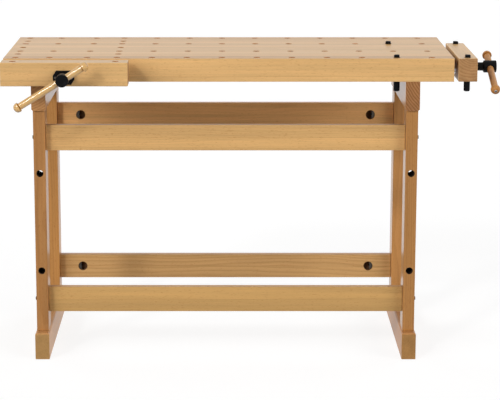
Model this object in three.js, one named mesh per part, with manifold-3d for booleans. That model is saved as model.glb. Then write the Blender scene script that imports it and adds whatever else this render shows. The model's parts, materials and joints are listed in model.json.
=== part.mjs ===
// Woodworking bench with a front vise and a tail vise, in millimetres with +Z up.
// X runs along the bench, -Y faces the worker, and the origin is on the floor under the middle of the bench.
import * as THREE from 'three';
import { mergeVertices } from 'three/addons/utils/BufferGeometryUtils.js';
import { ConvexGeometry } from 'three/addons/geometries/ConvexGeometry.js';
import Module from 'manifold-3d';

// Clearances
const SEAT = 0.3; // between faces that are glued, bolted or set on each other
const RUNNING = 0.3; // radial play of pieces that slide or turn

// Bench top
const TOP_LENGTH = 1310;
const TOP_DEPTH = 500;
const TOP_HEIGHT = 900;
const APRON_HEIGHT = 68;
const APRON_THICKNESS = 54;
const PANEL_THICKNESS = 24;
const END_RAIL_WIDTH = 50;
const TONGUE_THICKNESS = 8;
const TONGUE_LENGTH = 10;

// Dog holes: columns are set from the left end, rows from the middle of the depth
const DOG_HOLE_DIAMETER = 19;
const OUTER_COLUMN = 33.5;
const SECOND_COLUMN_STEP = 99;
const THIRD_COLUMN_STEP = 109.5;
const FOURTH_COLUMN_STEP = 87;
const COLUMN_PITCH = 102;
const INNER_ROW_OFFSET = 85;
const MIDDLE_ROW_OFFSET = 150;
const OUTER_ROW_INSET = 25;

// Bench dogs
const DOG_LENGTH = 107;
const DOG_HEAD_RISE = 8;
const DOG_FACE_DEPTH = 2.5;
const DOG_FACE_HEIGHT = 14;
const DOG_COLUMN = 2; // counted from 1 at the right end
const DOG_POINT_CHAMFER = 2;
const DOG_HEAD_CHAMFER = 2;

// Trestles
const LEFT_TRESTLE_X = 100;
const RIGHT_TRESTLE_INSET = 119;
const LEG_THICKNESS = 35;
const LEG_DEPTH = 76;
const LEG_SETBACK = 6;
const LEG_HOLE_DIAMETER = 20;
const BEAM_THICKNESS = 42;
const BEAM_HEIGHT = 86;
const BEAM_CHAMFER = 4.5;
const FOOT_HEIGHT = 80;
const FOOT_PROUD = 22;
const FOOT_CHAMFER = 4;
const TENON_THICKNESS = 15;
const TENON_SHOULDER = 12;
const TENON_LENGTH = 40;
const LOWER_LEG_HOLE_RISE = 185; // above the foot
const UPPER_LEG_HOLE_DROP = 186.7; // below the crossbeam
const TOP_DOWEL_DIAMETER = 12;
const TOP_DOWEL_IN_BEAM = 35;
const TOP_DOWEL_IN_APRON = 15;
const TOP_DOWEL_INSET = 40;

// Stretchers and their bolts
const STRETCHER_HEIGHT = 75.5;
const STRETCHER_THICKNESS = 24;
const STRETCHER_SETBACK = 24;
const UPPER_STRETCHER_DROP = 84.2; // from the underside of the crossbeam to the stretcher's middle
const LOWER_STRETCHER_RISE = 92; // from the top of the foot to the stretcher's middle
const BOLT_DIAMETER = 6;
const BOLT_HEAD_WIDTH = 10;
const BOLT_HEAD_HEIGHT = 5;
const BOLT_PAST_NUT = 3;
const NUT_HOLE_DIAMETER = 28;
const NUT_HOLE_INSET = 72;
const NUT_HOLE_FLOOR = 5;
const CROSS_NUT_THICKNESS = 9;
const CROSS_NUT_DEPTH = 13;

// Vise parts that the two vises share
const OPENING = 140;
const SCREW_DIAMETER = 20;
const COLLAR_DIAMETER = 32;
const COLLAR_LENGTH = 6;
const COLLAR_PLAY = 1; // around the collar, in the jaw
const JOURNAL_DIAMETER = 16;
const JOURNAL_IN_HUB = 32;
const PLATE_WIDTH = 61;
const PLATE_HEIGHT = 40;
const PLATE_THICKNESS = 12;
const PLATE_CORNER_WIDTH = 9;
const PLATE_CORNER_HEIGHT = 14;
const NECK_DIAMETER = 25;
const NECK_LENGTH = 27;
const HUB_DIAMETER = 36.5;
const HUB_LENGTH = 38;
const HUB_EDGE = 2;
const HANDLE_FROM_HUB_END = 19;
const HANDLE_DIAMETER = 20;
const HANDLE_SPAN = 230; // between the middles of the knobs
const KNOB_DIAMETER = 28;
const KNOB_LENGTH = 17;
const KNOB_RIM = 6;
const KNOB_EDGE = 1.5;
const KNOB_SPIGOT_DIAMETER = 10;
const KNOB_SPIGOT_LENGTH = 10;
const GUIDE_ROD_DIAMETER = 16;
const GUIDE_ROD_SPACING = 200;
const GUIDE_ROD_COVER = 18; // wood left in front of a rod's blind bore
const GUIDE_ROD_SPARE = 10;
const VISE_NUT_DIAMETER = 34;
const VISE_NUT_LENGTH = 32;
const VISE_NUT_FLANGE_WIDTH = 70;
const VISE_NUT_FLANGE_THICKNESS = 8;

// The front vise, whose jaw starts at the left end of the bench
const FRONT_JAW_PAST_HOLE = 37; // from the middle of its right dog hole to its right end
const FRONT_JAW_THICKNESS = 65;
const FRONT_GAP = 26;
const FRONT_SCREW_CLEAR = 0.7; // between the vise nut and the panel above it
const FRONT_HANDLE_TILT = 31.7;
const FRONT_HANDLE_OFFSET = 38;

// The tail vise, whose jaw starts at the front of the bench
const TAIL_JAW_PAST_DOG = 19; // from the middle of its back dog to its back end
const TAIL_JAW_THICKNESS = 55;
const TAIL_GAP = 12.5;
const TAIL_SCREW_CLEAR = 6.7;
const TAIL_HANDLE_TILT = 19.3;
const TAIL_HANDLE_OFFSET = 36.5;

// Facets of round shapes
const HOLE_SIDES = 16;
const SHAFT_SIDES = 16;
const BOLT_SIDES = 8;
const HEX_SIDES = 6;
const DOME_STEPS = 4;

// Levels and places worked out from the sizes above
const APRON_BOTTOM = TOP_HEIGHT - APRON_HEIGHT;
const PANEL_BOTTOM = TOP_HEIGHT - PANEL_THICKNESS;
const BEAM_BOTTOM = APRON_BOTTOM - SEAT - BEAM_HEIGHT;
const RIGHT_TRESTLE_X = TOP_LENGTH - RIGHT_TRESTLE_INSET;
const LEG_HOLE_HEIGHTS = [FOOT_HEIGHT + LOWER_LEG_HOLE_RISE, BEAM_BOTTOM - UPPER_LEG_HOLE_DROP];
const UPPER_STRETCHER_MIDDLE = BEAM_BOTTOM - UPPER_STRETCHER_DROP;
const LOWER_STRETCHER_MIDDLE = FOOT_HEIGHT + LOWER_STRETCHER_RISE;
const FRONT_SCREW_HEIGHT = PANEL_BOTTOM - VISE_NUT_DIAMETER / 2 - FRONT_SCREW_CLEAR;
const TAIL_SCREW_HEIGHT = PANEL_BOTTOM - VISE_NUT_DIAMETER / 2 - TAIL_SCREW_CLEAR;
const DOG_HOLE_RADIUS = DOG_HOLE_DIAMETER / 2;
const PAST = 1; // how far a cutting tool runs past the face it opens

const SECOND_COLUMN = OUTER_COLUMN + SECOND_COLUMN_STEP;
const THIRD_COLUMN = SECOND_COLUMN + THIRD_COLUMN_STEP;
const FOURTH_COLUMN = THIRD_COLUMN + FOURTH_COLUMN_STEP;
const VISE_COLUMNS = [OUTER_COLUMN, FOURTH_COLUMN];
const COLUMNS = [OUTER_COLUMN, SECOND_COLUMN, THIRD_COLUMN, FOURTH_COLUMN];
const LAST_COLUMN_LIMIT = TOP_LENGTH - END_RAIL_WIDTH - DOG_HOLE_RADIUS;
while (COLUMNS.at(-1) + COLUMN_PITCH < LAST_COLUMN_LIMIT) COLUMNS.push(COLUMNS.at(-1) + COLUMN_PITCH);

const MIDDLE = TOP_DEPTH / 2;
const EDGE_ROWS = [OUTER_ROW_INSET, TOP_DEPTH - OUTER_ROW_INSET];
const FULL_ROWS = [MIDDLE - INNER_ROW_OFFSET, MIDDLE + INNER_ROW_OFFSET];
const SHORT_ROWS = [MIDDLE - MIDDLE_ROW_OFFSET, MIDDLE, MIDDLE + MIDDLE_ROW_OFFSET];
const DOG_ROWS = [EDGE_ROWS[0], FULL_ROWS[1]];
const FRONT_JAW_LENGTH = FOURTH_COLUMN + FRONT_JAW_PAST_HOLE;
const TAIL_JAW_LENGTH = DOG_ROWS[1] + TAIL_JAW_PAST_DOG;

// Finishes
const material = (color, roughness, metalness = 0) =>
  new THREE.MeshStandardMaterial({ color, roughness, metalness });
const BEECH = material(0xd2a870, 0.5);
const BEECH_TRESTLE = material(0xb98a58, 0.55);
const BEECH_TURNED = material(0xd9b27a, 0.4);
const BLACK_IRON = material(0x17171a, 0.5, 0.3);
const BLACK_PLASTIC = material(0x141416, 0.55);
const STEEL = material(0xb4b6b8, 0.3, 1);
const ZINC_STEEL = material(0x6f7073, 0.4, 1);

const wasm = await Module();
wasm.setup();

// Solids

function toSolid(geometry) {
  const bare = new THREE.BufferGeometry();
  bare.setAttribute('position', geometry.getAttribute('position').clone());
  bare.setIndex(geometry.getIndex());
  const merged = mergeVertices(bare);
  const corners = merged.getIndex().array;
  const triangles = [];
  for (let i = 0; i < corners.length; i += 3) {
    const [a, b, c] = corners.slice(i, i + 3);
    if (a !== b && b !== c && c !== a) triangles.push(a, b, c);
  }
  return new wasm.Manifold(new wasm.Mesh({
    numProp: 3,
    vertProperties: new Float32Array(merged.getAttribute('position').array),
    triVerts: new Uint32Array(triangles),
  }));
}

function toGeometry(solid) {
  const { vertProperties, triVerts } = solid.getMesh();
  const geometry = new THREE.BufferGeometry();
  geometry.setAttribute('position', new THREE.BufferAttribute(vertProperties, 3));
  geometry.setIndex(new THREE.BufferAttribute(triVerts, 1));
  geometry.computeVertexNormals();
  return geometry;
}

function cut(piece, tools) {
  return toGeometry(tools.reduce((solid, tool) => solid.subtract(toSolid(tool)), toSolid(piece)));
}

function join(pieces) {
  const [first, ...others] = pieces.map(toSolid);
  return toGeometry(others.reduce((solid, other) => solid.add(other), first));
}

function overlapOf(a, b) {
  return toGeometry(toSolid(a).intersect(toSolid(b)));
}

// Basic shapes

function block([x0, x1], [y0, y1], [z0, z1]) {
  const geometry = new THREE.BoxGeometry(x1 - x0, y1 - y0, z1 - z0);
  return geometry.translate((x0 + x1) / 2, (y0 + y1) / 2, (z0 + z1) / 2);
}

function around(middle, width) {
  return [middle - width / 2, middle + width / 2];
}

// A turned piece along +Z, from [radius, height] pairs that start and end on the axis
function turned(profile, sides) {
  const points = profile.map(([radius, height]) => new THREE.Vector2(radius, height));
  return new THREE.LatheGeometry(points, sides).rotateX(Math.PI / 2);
}

function along(axis, geometry) {
  if (axis === 'x') return geometry.rotateY(Math.PI / 2);
  if (axis === 'y') return geometry.rotateX(-Math.PI / 2);
  if (axis === '-y') return geometry.rotateX(Math.PI / 2);
  return geometry;
}

function round(axis, [start, end], diameter, [x, y, z], sides = HOLE_SIDES) {
  const profile = [[0, start], [diameter / 2, start], [diameter / 2, end], [0, end]];
  return along(axis, turned(profile, sides)).translate(x, y, z);
}

// An outline in X and Z, or in Y and Z, drawn out along the third axis
function drawn(axis, outline, [start, end]) {
  const shape = new THREE.Shape(outline.map(([u, v]) => new THREE.Vector2(u, v)));
  const geometry = new THREE.ExtrudeGeometry(shape, { depth: end - start, bevelEnabled: false });
  if (axis === 'x') return geometry.rotateX(Math.PI / 2).rotateZ(Math.PI / 2).translate(start, 0, 0);
  return geometry.rotateX(Math.PI / 2).translate(0, end, 0);
}

function piece(name, geometry, finish) {
  const mesh = new THREE.Mesh(geometry, finish);
  mesh.name = name;
  return mesh;
}

const bench = new THREE.Group();

// Bench top

function dogHole(x, y) {
  return round('z', [APRON_BOTTOM - PAST, TOP_HEIGHT + PAST], DOG_HOLE_DIAMETER, [x, y, 0]);
}

// The way of one vise's screw and rods through the wood behind its jaw
function viseBores(axis, thickness, places, height) {
  const diameters = [GUIDE_ROD_DIAMETER, SCREW_DIAMETER, GUIDE_ROD_DIAMETER];
  return places.map((place, i) => {
    const at = axis === 'y' ? [place, 0, height] : [TOP_LENGTH - thickness, place, height];
    return round(axis, [-PAST, thickness + PAST], diameters[i] + 2 * RUNNING, at, SHAFT_SIDES);
  });
}

function viseLine(middle) {
  return [middle - GUIDE_ROD_SPACING / 2, middle, middle + GUIDE_ROD_SPACING / 2];
}

const FRONT_VISE_LINE = viseLine(FRONT_JAW_LENGTH / 2);
const TAIL_VISE_LINE = viseLine(TAIL_JAW_LENGTH / 2);

function topDowelBore(x, y) {
  const start = APRON_BOTTOM - PAST;
  const end = APRON_BOTTOM + TOP_DOWEL_IN_APRON + SEAT;
  return round('z', [start, end], TOP_DOWEL_DIAMETER + 2 * SEAT, [x, y, 0]);
}

const TONGUE_TOP = TOP_HEIGHT - (PANEL_THICKNESS - TONGUE_THICKNESS) / 2;
const TONGUE_BOTTOM = TONGUE_TOP - TONGUE_THICKNESS;

// The front apron's outline, grooved for the panel's tongue, and its mirror image for the back
function apronOutline(flip) {
  const groove = APRON_THICKNESS - TONGUE_LENGTH - SEAT;
  const outline = [
    [0, APRON_BOTTOM], [APRON_THICKNESS, APRON_BOTTOM],
    [APRON_THICKNESS, TONGUE_BOTTOM - SEAT], [groove, TONGUE_BOTTOM - SEAT],
    [groove, TONGUE_TOP + SEAT], [APRON_THICKNESS, TONGUE_TOP + SEAT],
    [APRON_THICKNESS, TOP_HEIGHT], [0, TOP_HEIGHT],
  ];
  return flip ? outline.map(([y, z]) => [TOP_DEPTH - y, z]) : outline;
}

const trestleXs = [LEFT_TRESTLE_X, RIGHT_TRESTLE_X];
const dowelYs = [TOP_DOWEL_INSET, TOP_DEPTH - TOP_DOWEL_INSET];

function apron(flip) {
  const row = EDGE_ROWS[flip ? 1 : 0];
  const tools = COLUMNS.map((x) => dogHole(x, row));
  tools.push(...trestleXs.map((x) => topDowelBore(x, dowelYs[flip ? 1 : 0])));
  if (!flip) tools.push(...viseBores('y', APRON_THICKNESS, FRONT_VISE_LINE, FRONT_SCREW_HEIGHT));
  return cut(drawn('x', apronOutline(flip), [0, TOP_LENGTH]), tools);
}

bench.add(piece('front_apron', apron(false), BEECH));
bench.add(piece('back_apron', apron(true), BEECH));

const PANEL_FRONT = APRON_THICKNESS + SEAT;
const PANEL_BACK = TOP_DEPTH - PANEL_FRONT;

function panel() {
  const outline = [
    [PANEL_FRONT, PANEL_BOTTOM], [PANEL_BACK, PANEL_BOTTOM],
    [PANEL_BACK, TONGUE_BOTTOM], [PANEL_BACK + TONGUE_LENGTH, TONGUE_BOTTOM],
    [PANEL_BACK + TONGUE_LENGTH, TONGUE_TOP], [PANEL_BACK, TONGUE_TOP],
    [PANEL_BACK, TOP_HEIGHT], [PANEL_FRONT, TOP_HEIGHT],
    [PANEL_FRONT, TONGUE_TOP], [PANEL_FRONT - TONGUE_LENGTH, TONGUE_TOP],
    [PANEL_FRONT - TONGUE_LENGTH, TONGUE_BOTTOM], [PANEL_FRONT, TONGUE_BOTTOM],
  ];
  const full = FULL_ROWS.flatMap((y) => COLUMNS.map((x) => dogHole(x, y)));
  const short = SHORT_ROWS.flatMap((y) => VISE_COLUMNS.map((x) => dogHole(x, y)));
  return cut(drawn('x', outline, [0, TOP_LENGTH]), [...full, ...short]);
}

bench.add(piece('top_panel', panel(), BEECH));

function endRail(start, tools) {
  const rail = block(
    [start, start + END_RAIL_WIDTH], [PANEL_FRONT, PANEL_BACK], [APRON_BOTTOM, PANEL_BOTTOM - SEAT]);
  return cut(rail, tools);
}

const leftEndHoles = [...FULL_ROWS, ...SHORT_ROWS].map((y) => dogHole(COLUMNS[0], y));
const rightEndBores = viseBores('x', END_RAIL_WIDTH, TAIL_VISE_LINE, TAIL_SCREW_HEIGHT);
bench.add(piece('left_end_rail', endRail(0, leftEndHoles), BEECH));
bench.add(piece('right_end_rail', endRail(TOP_LENGTH - END_RAIL_WIDTH, rightEndBores), BEECH));

// Trestles

const FRONT_LEG_Y = [LEG_SETBACK, LEG_SETBACK + LEG_DEPTH];
const BACK_LEG_Y = FRONT_LEG_Y.map((y) => TOP_DEPTH - y).reverse();
const LEG_Z = [FOOT_HEIGHT + SEAT, BEAM_BOTTOM - SEAT];
const FRONT_STRETCHER_Y = [0, STRETCHER_THICKNESS].map((y) => LEG_SETBACK + STRETCHER_SETBACK + y);
const BACK_STRETCHER_Y = FRONT_STRETCHER_Y.map((y) => TOP_DEPTH - y).reverse();
const STRETCHER_MIDDLES = [LOWER_STRETCHER_MIDDLE, UPPER_STRETCHER_MIDDLE];

const middleOf = ([start, end]) => (start + end) / 2;

// A tenon, or with a clearance the mortise that takes it, from the shoulder at one end of a leg
function tenon(x, [y0, y1], shoulder, direction, clearance) {
  const root = shoulder - direction * (PAST + clearance);
  const tip = shoulder + direction * (TENON_LENGTH + clearance);
  return block(
    around(x, TENON_THICKNESS + 2 * clearance),
    [y0 + TENON_SHOULDER - clearance, y1 - TENON_SHOULDER + clearance],
    [Math.min(root, tip), Math.max(root, tip)]);
}

function leg(x, yRange, holeHeights) {
  const body = join([
    block(around(x, LEG_THICKNESS), yRange, LEG_Z),
    tenon(x, yRange, LEG_Z[0], -1, 0),
    tenon(x, yRange, LEG_Z[1], 1, 0),
  ]);
  const stretcher = yRange === FRONT_LEG_Y ? FRONT_STRETCHER_Y : BACK_STRETCHER_Y;
  const reach = [-LEG_THICKNESS / 2 - PAST, LEG_THICKNESS / 2 + PAST];
  const boltWays = STRETCHER_MIDDLES.map((z) =>
    round('x', reach, BOLT_DIAMETER + 2 * SEAT, [x, middleOf(stretcher), z], BOLT_SIDES));
  const pegHoles = holeHeights.map((z) =>
    round('y', [yRange[0] - PAST, yRange[1] + PAST], LEG_HOLE_DIAMETER, [x, 0, z]));
  return cut(body, [...boltWays, ...pegHoles]);
}

function mortises(x, shoulder, direction) {
  return [FRONT_LEG_Y, BACK_LEG_Y].map((y) => tenon(x, y, shoulder, direction, SEAT));
}

function foot(x) {
  const [x0, x1] = around(x, BEAM_THICKNESS);
  const [y0, y1] = [-FOOT_PROUD, TOP_DEPTH + FOOT_PROUD];
  const corners = [];
  for (const [z, inset] of [[0, 0], [FOOT_HEIGHT - FOOT_CHAMFER, 0], [FOOT_HEIGHT, FOOT_CHAMFER]]) {
    for (const cornerX of [x0 + inset, x1 - inset]) {
      for (const cornerY of [y0 + inset, y1 - inset]) corners.push(new THREE.Vector3(cornerX, cornerY, z));
    }
  }
  return cut(new ConvexGeometry(corners), mortises(x, LEG_Z[0], -1));
}

function crossbeam(x) {
  const [x0, x1] = around(x, BEAM_THICKNESS);
  const top = BEAM_BOTTOM + BEAM_HEIGHT;
  const outline = [
    [x0 + BEAM_CHAMFER, BEAM_BOTTOM], [x1 - BEAM_CHAMFER, BEAM_BOTTOM], [x1, BEAM_BOTTOM + BEAM_CHAMFER],
    [x1, top], [x0, top], [x0, BEAM_BOTTOM + BEAM_CHAMFER],
  ];
  const bores = dowelYs.map((y) => {
    const depth = [top - TOP_DOWEL_IN_BEAM - SEAT, top + PAST];
    return round('z', depth, TOP_DOWEL_DIAMETER + 2 * SEAT, [x, y, 0]);
  });
  return cut(drawn('y', outline, [0, TOP_DEPTH]), [...mortises(x, LEG_Z[1], 1), ...bores]);
}

function topDowel(x, y) {
  const ends = [APRON_BOTTOM - SEAT - TOP_DOWEL_IN_BEAM, APRON_BOTTOM + TOP_DOWEL_IN_APRON];
  return round('z', ends, TOP_DOWEL_DIAMETER, [x, y, 0]);
}

for (const [side, x] of [['left', LEFT_TRESTLE_X], ['right', RIGHT_TRESTLE_X]]) {
  bench.add(piece(`${side}_foot`, foot(x), BEECH_TRESTLE));
  bench.add(piece(`${side}_crossbeam`, crossbeam(x), BEECH_TRESTLE));
  bench.add(piece(`${side}_front_leg`, leg(x, FRONT_LEG_Y, LEG_HOLE_HEIGHTS), BEECH_TRESTLE));
  bench.add(piece(`${side}_back_leg`, leg(x, BACK_LEG_Y, []), BEECH_TRESTLE));
  for (const [place, y] of [['front', dowelYs[0]], ['back', dowelYs[1]]]) {
    bench.add(piece(`${side}_${place}_top_dowel`, topDowel(x, y), BEECH_TURNED));
  }
}

// Stretchers, each held at both ends by a bolt in a half-moon nut

const STRETCHER_X = [
  LEFT_TRESTLE_X + LEG_THICKNESS / 2 + SEAT, RIGHT_TRESTLE_X - LEG_THICKNESS / 2 - SEAT];
const STRETCHER_ENDS = [['left', STRETCHER_X[0], 1], ['right', STRETCHER_X[1], -1]];

function stretcher([y0, y1], z, holesFaceBack) {
  const body = block(STRETCHER_X, [y0, y1], around(z, STRETCHER_HEIGHT));
  const holeY = holesFaceBack ? [y0 + NUT_HOLE_FLOOR, y1 + PAST] : [y0 - PAST, y1 - NUT_HOLE_FLOOR];
  const tools = STRETCHER_ENDS.flatMap(([, end, inward]) => {
    const nutHole = round('y', holeY, NUT_HOLE_DIAMETER, [end + inward * NUT_HOLE_INSET, 0, z]);
    const bore = [-inward * PAST, inward * NUT_HOLE_INSET].sort((a, b) => a - b);
    const at = [end, middleOf([y0, y1]), z];
    return [nutHole, round('x', bore, BOLT_DIAMETER + 2 * SEAT, at, BOLT_SIDES)];
  });
  return cut(body, tools);
}

const NUT_FACE = NUT_HOLE_INSET - NUT_HOLE_DIAMETER / 2 + CROSS_NUT_THICKNESS;

function stretcherBolt(end, inward, y, z) {
  const headSeat = end - inward * (LEG_THICKNESS + 2 * SEAT);
  const headEnd = headSeat - inward * BOLT_HEAD_HEIGHT;
  const tip = end + inward * (NUT_FACE + BOLT_PAST_NUT);
  const headRange = [headSeat, headEnd].sort((a, b) => a - b);
  const shankRange = [headSeat - inward * PAST, tip].sort((a, b) => a - b);
  const acrossCorners = BOLT_HEAD_WIDTH / Math.cos(Math.PI / HEX_SIDES);
  return join([
    round('x', headRange, acrossCorners, [0, y, z], HEX_SIDES),
    round('x', shankRange, BOLT_DIAMETER, [0, y, z], BOLT_SIDES),
  ]);
}

function crossNut(end, inward, y, z) {
  const middle = end + inward * NUT_HOLE_INSET;
  const disc = round('y', around(y, CROSS_NUT_DEPTH), NUT_HOLE_DIAMETER - 2 * SEAT, [middle, 0, z]);
  const slab = [end, end + inward * NUT_FACE].sort((a, b) => a - b);
  const moon = overlapOf(
    disc, block(slab, around(y, CROSS_NUT_DEPTH + PAST), around(z, NUT_HOLE_DIAMETER)));
  const bore = round('x', slab, BOLT_DIAMETER + 2 * SEAT, [0, y, z], BOLT_SIDES);
  return cut(moon, [bore.translate(inward * PAST, 0, 0)]);
}

for (const [level, z] of [['upper', UPPER_STRETCHER_MIDDLE], ['lower', LOWER_STRETCHER_MIDDLE]]) {
  for (const [place, yRange] of [['front', FRONT_STRETCHER_Y], ['back', BACK_STRETCHER_Y]]) {
    const name = `${level}_${place}`;
    const boltY = middleOf(yRange);
    bench.add(piece(`${name}_stretcher`, stretcher(yRange, z, place === 'front'), BEECH));
    for (const [side, end, inward] of STRETCHER_ENDS) {
      bench.add(piece(`${name}_${side}_bolt`, stretcherBolt(end, inward, boltY, z), BLACK_IRON));
      bench.add(piece(`${name}_${side}_nut`, crossNut(end, inward, boltY, z), ZINC_STEEL));
    }
  }
}

// Bench dogs

function benchDog() {
  const radius = DOG_HOLE_RADIUS - RUNNING;
  const [tip, head] = [DOG_HEAD_RISE - DOG_LENGTH, DOG_HEAD_RISE];
  const stem = turned([
    [0, tip], [radius - DOG_POINT_CHAMFER, tip], [radius, tip + DOG_POINT_CHAMFER],
    [radius, head - DOG_HEAD_CHAMFER], [radius - DOG_HEAD_CHAMFER, head], [0, head],
  ], HOLE_SIDES);
  const face = block(
    [-radius - PAST, DOG_FACE_DEPTH - radius], around(0, DOG_HOLE_DIAMETER),
    [head - DOG_FACE_HEIGHT, head + PAST]);
  return cut(stem, [face]);
}

// A dog stands in its hole with its flat face turned to the dog it works against
function placeDog(name, x, y, facesRight) {
  const dog = piece(name, benchDog(), BLACK_PLASTIC);
  dog.position.set(x, y, TOP_HEIGHT);
  dog.rotation.z = facesRight ? Math.PI : 0;
  bench.add(dog);
}

const TAIL_DOG_X = TOP_LENGTH + TAIL_GAP + TAIL_JAW_THICKNESS / 2;
for (const [place, y] of [['front', DOG_ROWS[0]], ['back', DOG_ROWS[1]]]) {
  placeDog(`${place}_bench_dog`, COLUMNS.at(-DOG_COLUMN), y, true);
  placeDog(`${place}_tail_dog`, TAIL_DOG_X, y, false);
}

// Vises. Each is built about its own screw: X along the jaw, -Y out of the bench, the origin where the
// screw meets the bench, so that an outward distance is a negative Y.

// A turned piece along the screw, from [radius, outward distance] pairs
function onScrew(profile, sides = SHAFT_SIDES) {
  return along('-y', turned(profile, sides));
}

function viseJaw({ length, thickness, gap, height, dogPlaces }) {
  const below = APRON_BOTTOM - height;
  const above = TOP_HEIGHT - height;
  const front = gap + thickness;
  const body = block([-length / 2, length / 2], [-front, -gap], [below, above]);
  const bore = (from, to, diameter, x = 0) =>
    round('-y', [from, to], diameter + 2 * RUNNING, [x, 0, 0], SHAFT_SIDES);
  const rodBores = [-1, 1].map((side) =>
    bore(gap - PAST, front - GUIDE_ROD_COVER, GUIDE_ROD_DIAMETER, side * GUIDE_ROD_SPACING / 2));
  const dogHoles = dogPlaces.map((x) =>
    round('z', [below - PAST, above + PAST], DOG_HOLE_DIAMETER, [x, -gap - thickness / 2, 0]));
  return cut(body, [
    bore(gap - PAST, front + PAST, SCREW_DIAMETER),
    bore(front - COLLAR_LENGTH - SEAT, front + PAST, COLLAR_DIAMETER + 2 * COLLAR_PLAY),
    ...rodBores,
    ...dogHoles,
  ]);
}

function thrustPlate(front) {
  const [halfWidth, halfHeight] = [PLATE_WIDTH / 2, PLATE_HEIGHT / 2];
  const [cutX, cutZ] = [PLATE_CORNER_WIDTH, PLATE_CORNER_HEIGHT];
  const outline = [
    [halfWidth - cutX, -halfHeight], [halfWidth, cutZ - halfHeight], [halfWidth, halfHeight - cutZ],
    [halfWidth - cutX, halfHeight], [cutX - halfWidth, halfHeight], [-halfWidth, halfHeight - cutZ],
    [-halfWidth, cutZ - halfHeight], [cutX - halfWidth, -halfHeight],
  ];
  const plate = drawn('y', outline, [-front - SEAT - PLATE_THICKNESS, -front - SEAT]);
  const way = [front, front + PLATE_THICKNESS + PAST];
  return cut(plate, [round('-y', way, JOURNAL_DIAMETER + 2 * RUNNING, [0, 0, 0], SHAFT_SIDES)]);
}

function viseScrew(front, innerEnd, journalEnd) {
  const [screw, collar, journal] = [SCREW_DIAMETER / 2, COLLAR_DIAMETER / 2, JOURNAL_DIAMETER / 2];
  return onScrew([
    [0, -innerEnd], [screw, -innerEnd], [screw, front - COLLAR_LENGTH], [collar, front - COLLAR_LENGTH],
    [collar, front], [journal, front], [journal, journalEnd], [0, journalEnd],
  ]);
}

function handleHub(neckStart, journalEnd, handleAt, tilt) {
  const [neck, hub] = [NECK_DIAMETER / 2, HUB_DIAMETER / 2];
  const bore = JOURNAL_DIAMETER / 2 + SEAT;
  const hubStart = neckStart + NECK_LENGTH;
  const hubEnd = hubStart + HUB_LENGTH;
  const body = onScrew([
    [0, journalEnd + SEAT], [bore, journalEnd + SEAT], [bore, neckStart], [neck, neckStart], [neck, hubStart],
    [hub - HUB_EDGE, hubStart], [hub, hubStart + HUB_EDGE], [hub, hubEnd - HUB_EDGE],
    [hub - HUB_EDGE, hubEnd], [0, hubEnd],
  ]);
  const way = round('z', [-HUB_DIAMETER, HUB_DIAMETER], HANDLE_DIAMETER + 2 * RUNNING, [0, 0, 0]);
  return cut(body, [way.rotateY(tilt).translate(0, -handleAt, 0)]);
}

// A knob's outline from its inner face at height 0 to the top of its dome
function knobOutline() {
  const radius = KNOB_DIAMETER / 2;
  const outline = [[radius - KNOB_EDGE, 0], [radius, KNOB_EDGE]];
  for (let i = 0; i <= DOME_STEPS; i++) {
    const angle = (i / DOME_STEPS) * Math.PI / 2;
    const height = KNOB_RIM + (KNOB_LENGTH - KNOB_RIM) * Math.sin(angle);
    outline.push([i < DOME_STEPS ? radius * Math.cos(angle) : 0, height]);
  }
  return outline;
}

// The handle is a bar with a knob turned on its short end and a spigot for a loose knob on the other
function viseHandle(offset) {
  const [bar, spigot] = [HANDLE_DIAMETER / 2, KNOB_SPIGOT_DIAMETER / 2];
  const shortEnd = HANDLE_SPAN / 2 - offset - KNOB_LENGTH / 2;
  const longEnd = KNOB_LENGTH / 2 - HANDLE_SPAN / 2 - offset;
  return turned([
    [0, longEnd - KNOB_SPIGOT_LENGTH], [spigot, longEnd - KNOB_SPIGOT_LENGTH],
    [spigot, longEnd], [bar, longEnd], [bar, shortEnd],
    ...knobOutline().map(([radius, height]) => [radius, shortEnd + height]),
  ], SHAFT_SIDES);
}

function looseKnob(offset) {
  const bore = KNOB_SPIGOT_DIAMETER / 2 + SEAT;
  const depth = KNOB_SPIGOT_LENGTH + SEAT;
  const profile = [[0, depth], [bore, depth], [bore, 0], ...knobOutline()];
  const face = HANDLE_SPAN / 2 + offset - KNOB_LENGTH / 2 + SEAT;
  return turned(profile, SHAFT_SIDES).rotateX(Math.PI).translate(0, 0, -face);
}

function viseNut(wall) {
  const seat = wall + SEAT;
  const bossStart = seat + VISE_NUT_FLANGE_THICKNESS;
  const nutEnd = bossStart + VISE_NUT_LENGTH;
  const flange = block(around(0, VISE_NUT_FLANGE_WIDTH), [seat, bossStart], around(0, VISE_NUT_DIAMETER));
  const boss = round('y', [seat + PAST, nutEnd], VISE_NUT_DIAMETER, [0, 0, 0]);
  const way = [seat - PAST, nutEnd + PAST];
  return cut(join([flange, boss]), [
    round('y', way, SCREW_DIAMETER + 2 * RUNNING, [0, 0, 0], SHAFT_SIDES)]);
}

function guideRod(front, innerEnd, x) {
  const outerEnd = front - GUIDE_ROD_COVER - SEAT;
  return round('-y', [-innerEnd, outerEnd], GUIDE_ROD_DIAMETER, [x, 0, 0], SHAFT_SIDES);
}

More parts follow.
